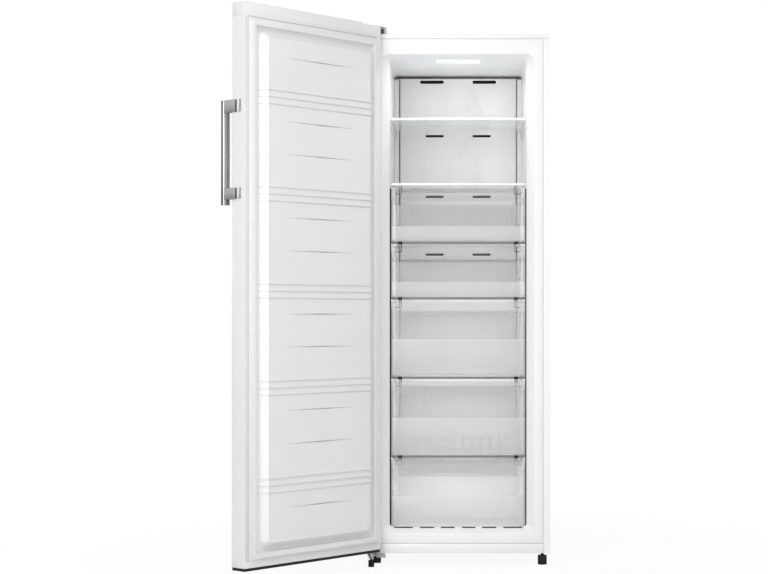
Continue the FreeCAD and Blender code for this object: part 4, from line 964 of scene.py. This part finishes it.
    def hook(self) -> Piece:
        """Model the hook under the first shelf's left end: a stem with its foot turned outwards."""
        top = self.undersides[0] * MM - self.hook_gap
        low = (-self.hook_x - self.hook_line, self.front + self.hook_depths[0], top - self.hook_drop)
        high = (-self.hook_x, self.front + self.hook_depths[1], top)
        piece = Bench.block("hook", low, high, 0.0)
        foot = top - self.hook_drop + self.hook_line
        Bench.split(piece, (0.0, 0.0, foot), (0.0, 0.0, 1.0))
        Bench.edit(piece)
        Bench.pick_faces(piece, lambda centre, normal: normal.x < -SIDE_ON and centre.z < foot)
        bpy.ops.mesh.extrude_region_move(TRANSFORM_OT_translate={"value": (-self.hook_foot, 0.0, 0.0)})
        bpy.ops.object.mode_set(mode="OBJECT")
        Bench.rounded(piece, self.small_edge)
        return piece

    def hooks(self) -> None:
        """Copy the hook under every shelf that hangs over a drawer, on both sides."""
        model = self.hook()
        for number, underside in enumerate(self.undersides, start=1):
            drop = raised(underside - self.undersides[0])
            left = Bench.copied(model, f"left_hook_{number}", drop)
            right = Bench.copied(left, f"right_hook_{number}", Vector())
            right.data.transform(Matrix.Scale(-1.0, 4, (1.0, 0.0, 0.0)))
            Bench.settled(right)
            for piece in (left, right):
                worn(piece, Palette.HOOK, "cabinet")
        scrapped(model)

    def build(self) -> None:
        """Make all the trim."""
        # Pads of painted shade under the lowest drawer.
        for number in range(len(self.shade_pads)):
            self.shade_pad(number)
        # The wall strips are painted shade, darker on the left wall than on the right.
        self.shade_and_duct_strips(-1, "left", Palette.BLACK)
        self.shade_and_duct_strips(1, "right", Palette.HOOK)
        self.hooks()
        self.shelf_shade_strips()


@dataclass
class Drawers:
    """Five drawers, the short ones at the top clearer than the tall ones."""

    count: int = 5
    short: int = 2
    edge: float = 0.9 * MM

    def build(self) -> None:
        """Soften each drawer and dress it."""
        for number in range(1, self.count + 1):
            finish = Palette.DRAWER if number <= self.short else Palette.TALL_DRAWER
            softened(f"drawer_{number}", finish, f"drawer_{number}", self.edge, 3)


@dataclass
class AirSide:
    """Duct panel with what is behind it: fan, evaporator, heater and gutter."""

    panel_edge: float = 0.8 * MM

    def build(self) -> None:
        """Dress the pieces of the cold-air side."""
        softened("duct_cover", Palette.PANEL, "cabinet", self.panel_edge)
        dressed(Palette.DUCT_FOAM, "duct_foam")
        dressed(Palette.CAP, "fan_shroud")
        dressed(Palette.BLACK, "fan_motor")
        dressed(Palette.GREY, "fan_rotor")
        dressed(Palette.FIN, "evaporator_fins")
        dressed(Palette.COIL, "evaporator_coil", "drain_gutter")
        dressed(Palette.STEEL, "defrost_heater")


@dataclass
class CompressorBay:
    """Compressor, tray, controls and rear cover, with the back's screws, whose levels are in millimetres."""

    cover_edge: float = 0.2 * MM
    gland_edge: float = 0.6 * MM
    screw_radius: float = 3.6 * MM
    screw_height: float = 1.6 * MM
    screw_sides: int = 20
    screw_sink: float = 0.2 * MM
    dome: float = 0.6 * MM
    dome_segments: int = 3
    dome_turn: float = 60.0
    recess_rim: float = 1.5 * MM
    recess_slope: float = 0.3 * MM
    recess_depth: float = 0.9 * MM
    screw_x: float = 288.0 * MM
    screw_levels: Sequence[float] = (65.0, 245.0, 270.0, 620.0, 980.0, 1340.0, 1690.0)

    def build(self) -> None:
        """Dress the bay's pieces and set the screws of the back."""
        dressed(Palette.ZINC, "compressor_plate")
        dressed(Palette.SHELL, "compressor")
        dressed(Palette.RUBBER, "compressor_grommets")
        dressed(Palette.BLACK, "terminal_cover", "drain_tray")
        dressed(Palette.CAP, "control_box")
        softened("bay_cover", Palette.ZINC, "cabinet", self.cover_edge, 1)
        softened("mains_gland", Palette.BLACK, "cabinet", self.gland_edge)
        self.screws()

    def screw(self) -> Piece:
        """Model a pan-head screw at the origin: a domed head with a sunk middle, facing the back."""
        Bench.clear()
        bpy.ops.mesh.primitive_cylinder_add(
            vertices=self.screw_sides, radius=self.screw_radius, depth=self.screw_height,
            rotation=(radians(-90.0), 0.0, 0.0),
            location=(0.0, self.screw_height / 2 - self.screw_sink, 0.0),
        )
        head = Bench.settled(bpy.context.object)
        head.name = "screw"
        Bench.rounded(head, self.dome, self.dome_segments, self.dome_turn)
        Bench.edit(head)
        Bench.pick_faces(head, lambda centre, normal: normal.y > SQUARE_ON)
        bpy.ops.mesh.inset(thickness=self.recess_rim, depth=0.0)
        bpy.ops.mesh.inset(thickness=self.recess_slope, depth=-self.recess_depth)
        bpy.ops.object.mode_set(mode="OBJECT")
        return head

    def screws(self) -> None:
        """Copy the screw down both edges of the rear sheet and of the bay's cover."""
        model = self.screw()
        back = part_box("back_panel")[1][1]
        for number, level in enumerate(self.screw_levels, start=1):
            for label, side in (("left", -1.0), ("right", 1.0)):
                place = Vector((side * self.screw_x, back, level * MM))
                worn(Bench.copied(model, f"{label}_back_screw_{number}", place), Palette.STEEL, "cabinet")
        scrapped(model)


@dataclass
class Feet:
    """Levelling feet and rear rollers."""

    edge: float = 1.2 * MM

    def build(self) -> None:
        """Soften the feet and rollers."""
        for side in ("right", "left"):
            softened(f"{side}_front_foot", Palette.BLACK, f"{side}_front_foot_body", self.edge)
            softened(f"{side}_rear_roller", Palette.NYLON, f"{side}_rear_roller_body", self.edge)


@dataclass
class Hinges:
    """Two brackets with their pins, bushes, cover, support block and stop."""

    sheet_edge: float = 0.6 * MM
    cover_edge: float = 0.5 * MM
    block_edge: float = 1.2 * MM
    bush_edge: float = 0.4 * MM
    stop_edge: float = 0.8 * MM
    stop_low: Triple = (-250.0 * MM, -290.5 * MM, 1720.2 * MM)
    stop_high: Triple = (-239.0 * MM, -286.6 * MM, 1736.5 * MM)

    def build(self) -> None:
        """Soften the hinges' pieces and set the stop."""
        softened("top_hinge", Palette.STEEL, "cabinet", self.sheet_edge)
        softened("lower_hinge", Palette.STEEL, "cabinet", self.sheet_edge)
        softened("hinge_cover", Palette.TRIM, "cabinet", self.cover_edge)
        softened("hinge_support_block", Palette.BLACK, "cabinet", self.block_edge)
        softened("hinge_bushes", Palette.NYLON, "door", self.bush_edge)
        stop = Bench.block("hinge_stop", self.stop_low, self.stop_high, self.stop_edge)
        worn(stop, Palette.HOOK, "cabinet")


@dataclass
class Door:
    """Door skin, caps, liner and seal, with lines of painted shade on the liner and a grey strip down the
    free edge. Ribs, shifts and the cap's level are in millimetres.
    """

    skin_edge: float = 0.25 * MM
    cap_edge: float = 1.2 * MM
    trim_edge: float = 0.6 * MM
    liner_edge: float = 1.6 * MM
    liner_smooth: float = 17.0
    seal_edge: float = 1.0 * MM
    hinge: Triple = (-0.2797, -0.3275, 0.0)
    open_angle: float = radians(130.0)
    inner_y: float = -303.2 * MM
    face_y: float = -278.2 * MM
    line_root: float = 1.7 * MM
    line_edge: float = 0.15 * MM
    line_height: float = 2.6 * MM
    line_point: float = 0.12
    rib_levels: Sequence[float] = (1468.0, 1178.0, 887.0, 596.5, 304.5)
    rib_spacing: float = 20.5
    rib_under: float = 5.2
    rib_length: float = 446.0 * MM
    rib_rise: float = 0.35 * MM
    crease_shifts: Pair = (118.0, -73.5)
    crease_length: float = 286.0 * MM
    crease_rise: float = 0.1 * MM
    cap_level: float = 1699.2
    cap_length: float = 566.0 * MM
    cap_height: float = 1.6 * MM
    cap_rise: float = 0.2 * MM
    # A grey strip that darkens the door's free edge outside the seal.
    grey_strip_x: Pair = (278.5 * MM, 295.6 * MM)
    grey_strip_levels: Pair = (78.0 * MM, 1698.0 * MM)
    grey_strip_rise: float = 0.25 * MM
    bead_and_grey_strip_edge: float = 0.2 * MM

    def build(self) -> None:
        """Soften the door's pieces and dress them."""
        softened("door_skin", Palette.ENAMEL, "door", self.skin_edge, 1)
        for cap in ("door_top_cap", "door_bottom_cap"):
            softened(cap, Palette.CAP, "door", self.cap_edge)
        softened("door_bottom_trim", Palette.BLACK, "door", self.trim_edge)
        liner = softened("door_liner", Palette.DOOR_LINER, "door", self.liner_edge, 3, self.liner_smooth)
        Bench.modify(liner, "WEIGHTED_NORMAL", **EVEN_FACES)
        softened("door_gasket", Palette.SEAL, "door", self.seal_edge)
        dressed(Palette.FOAM, "door_foam")
        self.relief_shade_lines()
        self.free_edge_grey_strip()

    def line(self, length: float, height: float, depth: float, taper: bool) -> Piece:
        """Model a thin line of painted shade at level 0 on the closed door's inner side, and swing it open.

        Args:
            length: Its length.
            height: How tall it is.
            depth: Y of its face on the closed door.
            taper: Whether it runs out to points.

        Returns:
            The model piece.
        """
        half = length / 2
        low, high = (-half, depth - self.line_root, -height / 2), (half, depth, height / 2)
        piece = Bench.block("line", low, high, 0.0)
        if taper:
            Bench.split(piece, (0.0, 0.0, 0.0), (1.0, 0.0, 0.0))
            for side in (-1.0, 1.0):
                Bench.edit(piece)
                Bench.pick_faces(piece, lambda centre, normal: normal.x * side > SIDE_ON)
                bpy.ops.transform.resize(
                    value=(1.0, 1.0, self.line_point), center_override=(side * half, depth, 0.0),
                )
            bpy.ops.object.mode_set(mode="OBJECT")
        Bench.rounded(piece, self.line_edge)
        return self.swung(piece)

    def swung(self, piece: Piece) -> Piece:
        """Swing a piece of the closed door to the open door's place."""
        hinge = Matrix.Translation(Vector(self.hinge))
        piece.data.transform(hinge @ Matrix.Rotation(-self.open_angle, 4, "Z") @ hinge.inverted())
        return piece

    def free_edge_grey_strip(self) -> None:
        """Lay a grey strip that darkens the door's free edge, outside the seal."""
        low = (self.grey_strip_x[0], self.inner_y - self.line_root, self.grey_strip_levels[0])
        high = (self.grey_strip_x[1], self.inner_y + self.grey_strip_rise, self.grey_strip_levels[1])
        grey_strip = self.swung(Bench.block("door_edge_grey_strip", low, high, self.bead_and_grey_strip_edge))
        worn(grey_strip, Palette.RIB_SHADE, "door")

    def relief_shade_lines(self) -> None:
        """Copy the soft dark lines of painted shade: in the creases, on the ribs' undersides and under the
        top cap.
        """
        rib_shade_model = self.line(self.rib_length, self.line_height, self.face_y + self.rib_rise, False)
        crease_shade_model = self.line(self.crease_length, self.line_height, self.face_y + self.crease_rise, True)
        cap = self.line(self.cap_length, self.cap_height, self.inner_y + self.cap_rise, False)
        for number, level in enumerate(self.rib_levels, start=1):
            for part, step in enumerate((-1, 0, 1), start=1):
                rise = raised(level + step * self.rib_spacing - self.rib_under)
                worn(Bench.copied(rib_shade_model, f"rib_shade_line_{number}_{part}", rise), Palette.RIB_SHADE, "door")
            for part, shift in enumerate(self.crease_shifts, start=1):
                rise = raised(level + shift)
                worn(Bench.copied(crease_shade_model, f"crease_shade_line_{number}_{part}", rise), Palette.CREASE, "door")
        worn(Bench.copied(cap, "cap_shade_line", raised(self.cap_level)), Palette.CREASE, "door")
        scrapped(rib_shade_model, crease_shade_model, cap)


@dataclass
class Handle:
    """Bar handle on two brackets with screw caps."""

    edge: float = 1.4 * MM
    small_edge: float = 0.8 * MM

    def build(self) -> None:
        """Soften the handle's pieces."""
        softened("handle_bar", Palette.BAR, "door", self.edge, 3)
        softened("handle_brackets", Palette.BRACKET, "door", self.edge)
        softened("handle_caps", Palette.HANDLE_CAP, "door", self.small_edge)


# ---- studio
@dataclass(frozen=True)
class Lamp:
    """One soft lamp."""

    name: str
    place: Triple
    aim: Triple
    size: Pair
    power: float


@dataclass
class Studio:
    """Pale floor, soft lamps, white surround and the camera."""

    white: Triple = ONE
    floor_half: float = 40.0
    floor_fade: Pair = (0.5, 1.6)
    floor_colour: Triple = (0.86, 0.86, 0.86)
    floor_lift: float = 0.93
    fill: float = 0.27
    camera_place: Triple = (0.0, -6.1475, 0.813)
    lens: float = 84.9
    sensor: float = 36.0
    sight: float = 200.0
    shift: Pair = (-0.0965, 0.0357)
    lamps: Sequence[Lamp] = field(default_factory=lambda: (
        Lamp("key", (0.2, -3.2, 4.2), (-0.1, -0.2, 0.9), (3.0, 1.8), 68.0),
        Lamp("left", (-1.7, -3.8, 1.5), (0.0, -0.2, 0.9), (2.0, 2.4), 43.0),
        Lamp("right", (3.4, -3.8, 1.4), (-0.4, -0.4, 0.9), (2.4, 2.6), 14.0),
        Lamp("front", (0.4, -6.8, 1.2), (0.0, 0.0, 0.9), (3.4, 2.6), 22.0),
        Lamp("near", (-0.1, -1.55, 0.98), (-0.1, 0.0, 0.98), (1.2, 1.9), 2.5),
        Lamp("room", (0.0, -0.2325, 1.6340), (0.0, -0.12, 0.9), (0.138, 0.05), 0.92),
        Lamp("rear_left", (-3.4, 4.2, 2.2), (0.0, 0.0, 0.9), (2.8, 2.6), 72.0),
        Lamp("rear_right", (3.4, 3.8, 2.2), (0.0, 0.0, 0.9), (2.8, 2.6), 72.0),
        Lamp("drawers", (0.0, -0.236, 0.65), (0.0, 0.2, 0.65), (0.40, 1.06), 2.6),
    ))

    def floor(self) -> None:
        """Lay the floor, white far away and plain near the object."""
        Bench.clear()
        bpy.ops.mesh.primitive_plane_add(size=2 * self.floor_half, location=(0.0, 0.0, 0.0))
        floor = Bench.settled(bpy.context.object)
        floor.name = "studio_floor"
        material = bpy.data.materials.new("floor_pale")
        material.use_nodes = True
        graph = Graph(material.node_tree)
        length = graph.node("ShaderNodeVectorMath", {"operation": "LENGTH"}, _0=graph.place())
        away = Wire(graph, length.outputs["Value"])
        seen = Wire(graph, graph.node("ShaderNodeLightPath").outputs["Is Camera Ray"])
        far = graph.step(away, *self.floor_fade)
        share = (self.floor_lift + (1.0 - self.floor_lift) * far) * seen
        plain = graph.node("ShaderNodeBsdfDiffuse", Color=self.floor_colour)
        white = graph.node("ShaderNodeEmission", Color=self.white, Strength=1.0)
        mixed = graph.node("ShaderNodeMixShader", _0=share, _1=plain.outputs[0], _2=white.outputs[0])
        graph.node("ShaderNodeOutputMaterial", Surface=mixed.outputs[0])
        floor.data.materials.append(material)

    def surround(self) -> None:
        """White behind everything, and an even fill on the object."""
        world = bpy.data.worlds.new("surround")
        world.use_nodes = True
        graph = Graph(world.node_tree)
        rays = graph.node("ShaderNodeLightPath").outputs
        seen, mirrored = Wire(graph, rays["Is Camera Ray"]), Wire(graph, rays["Is Glossy Ray"])
        share = (seen + mirrored + Wire(graph, rays["Is Transmission Ray"])).clamped()
        fill = graph.node("ShaderNodeBackground", Color=self.white, Strength=self.fill)
        white = graph.node("ShaderNodeBackground", Color=self.white, Strength=1.0)
        mixed = graph.node("ShaderNodeMixShader", _0=share, _1=fill.outputs[0], _2=white.outputs[0])
        graph.node("ShaderNodeOutputWorld", Surface=mixed.outputs[0])
        bpy.context.scene.world = world

    def light(self, lamp: Lamp) -> None:
        """Hang one soft lamp and aim it."""
        data = bpy.data.lights.new(lamp.name, "AREA")
        data.shape = "RECTANGLE"
        data.size, data.size_y = lamp.size
        data.energy = lamp.power
        hung = bpy.data.objects.new(f"lamp_{lamp.name}", data)
        hung.location = lamp.place
        hung.rotation_euler = (Vector(lamp.aim) - Vector(lamp.place)).to_track_quat("-Z", "Y").to_euler()
        bpy.context.scene.collection.objects.link(hung)

    def camera(self) -> None:
        """Set the camera at the photograph's viewpoint."""
        data = bpy.data.cameras.new("camera")
        data.lens = self.lens
        data.sensor_width = self.sensor
        data.shift_x, data.shift_y = self.shift
        data.clip_end = self.sight
        placed = bpy.data.objects.new("camera", data)
        placed.location = self.camera_place
        placed.rotation_euler = (radians(90.0), 0.0, 0.0)
        bpy.context.scene.collection.objects.link(placed)
        bpy.context.scene.camera = placed

    def build(self) -> None:
        """Set up the whole studio."""
        bpy.context.scene.view_settings.view_transform = "Standard"
        self.floor()
        self.surround()
        for lamp in self.lamps:
            self.light(lamp)
        self.camera()


def main() -> None:
    """Build every sub-assembly in order."""
    logging.basicConfig(level=logging.INFO, format="%(name)s: %(message)s")
    assemblies = (
        Studio(), Cabinet(), ColdRoom(), RoomTrim(), Drawers(), AirSide(),
        CompressorBay(), Feet(), Hinges(), Door(), Handle(),
    )
    for assembly in assemblies:
        LOG.info("building %s", type(assembly).__name__)
        assembly.build()


if __name__ == "__main__":
    main()
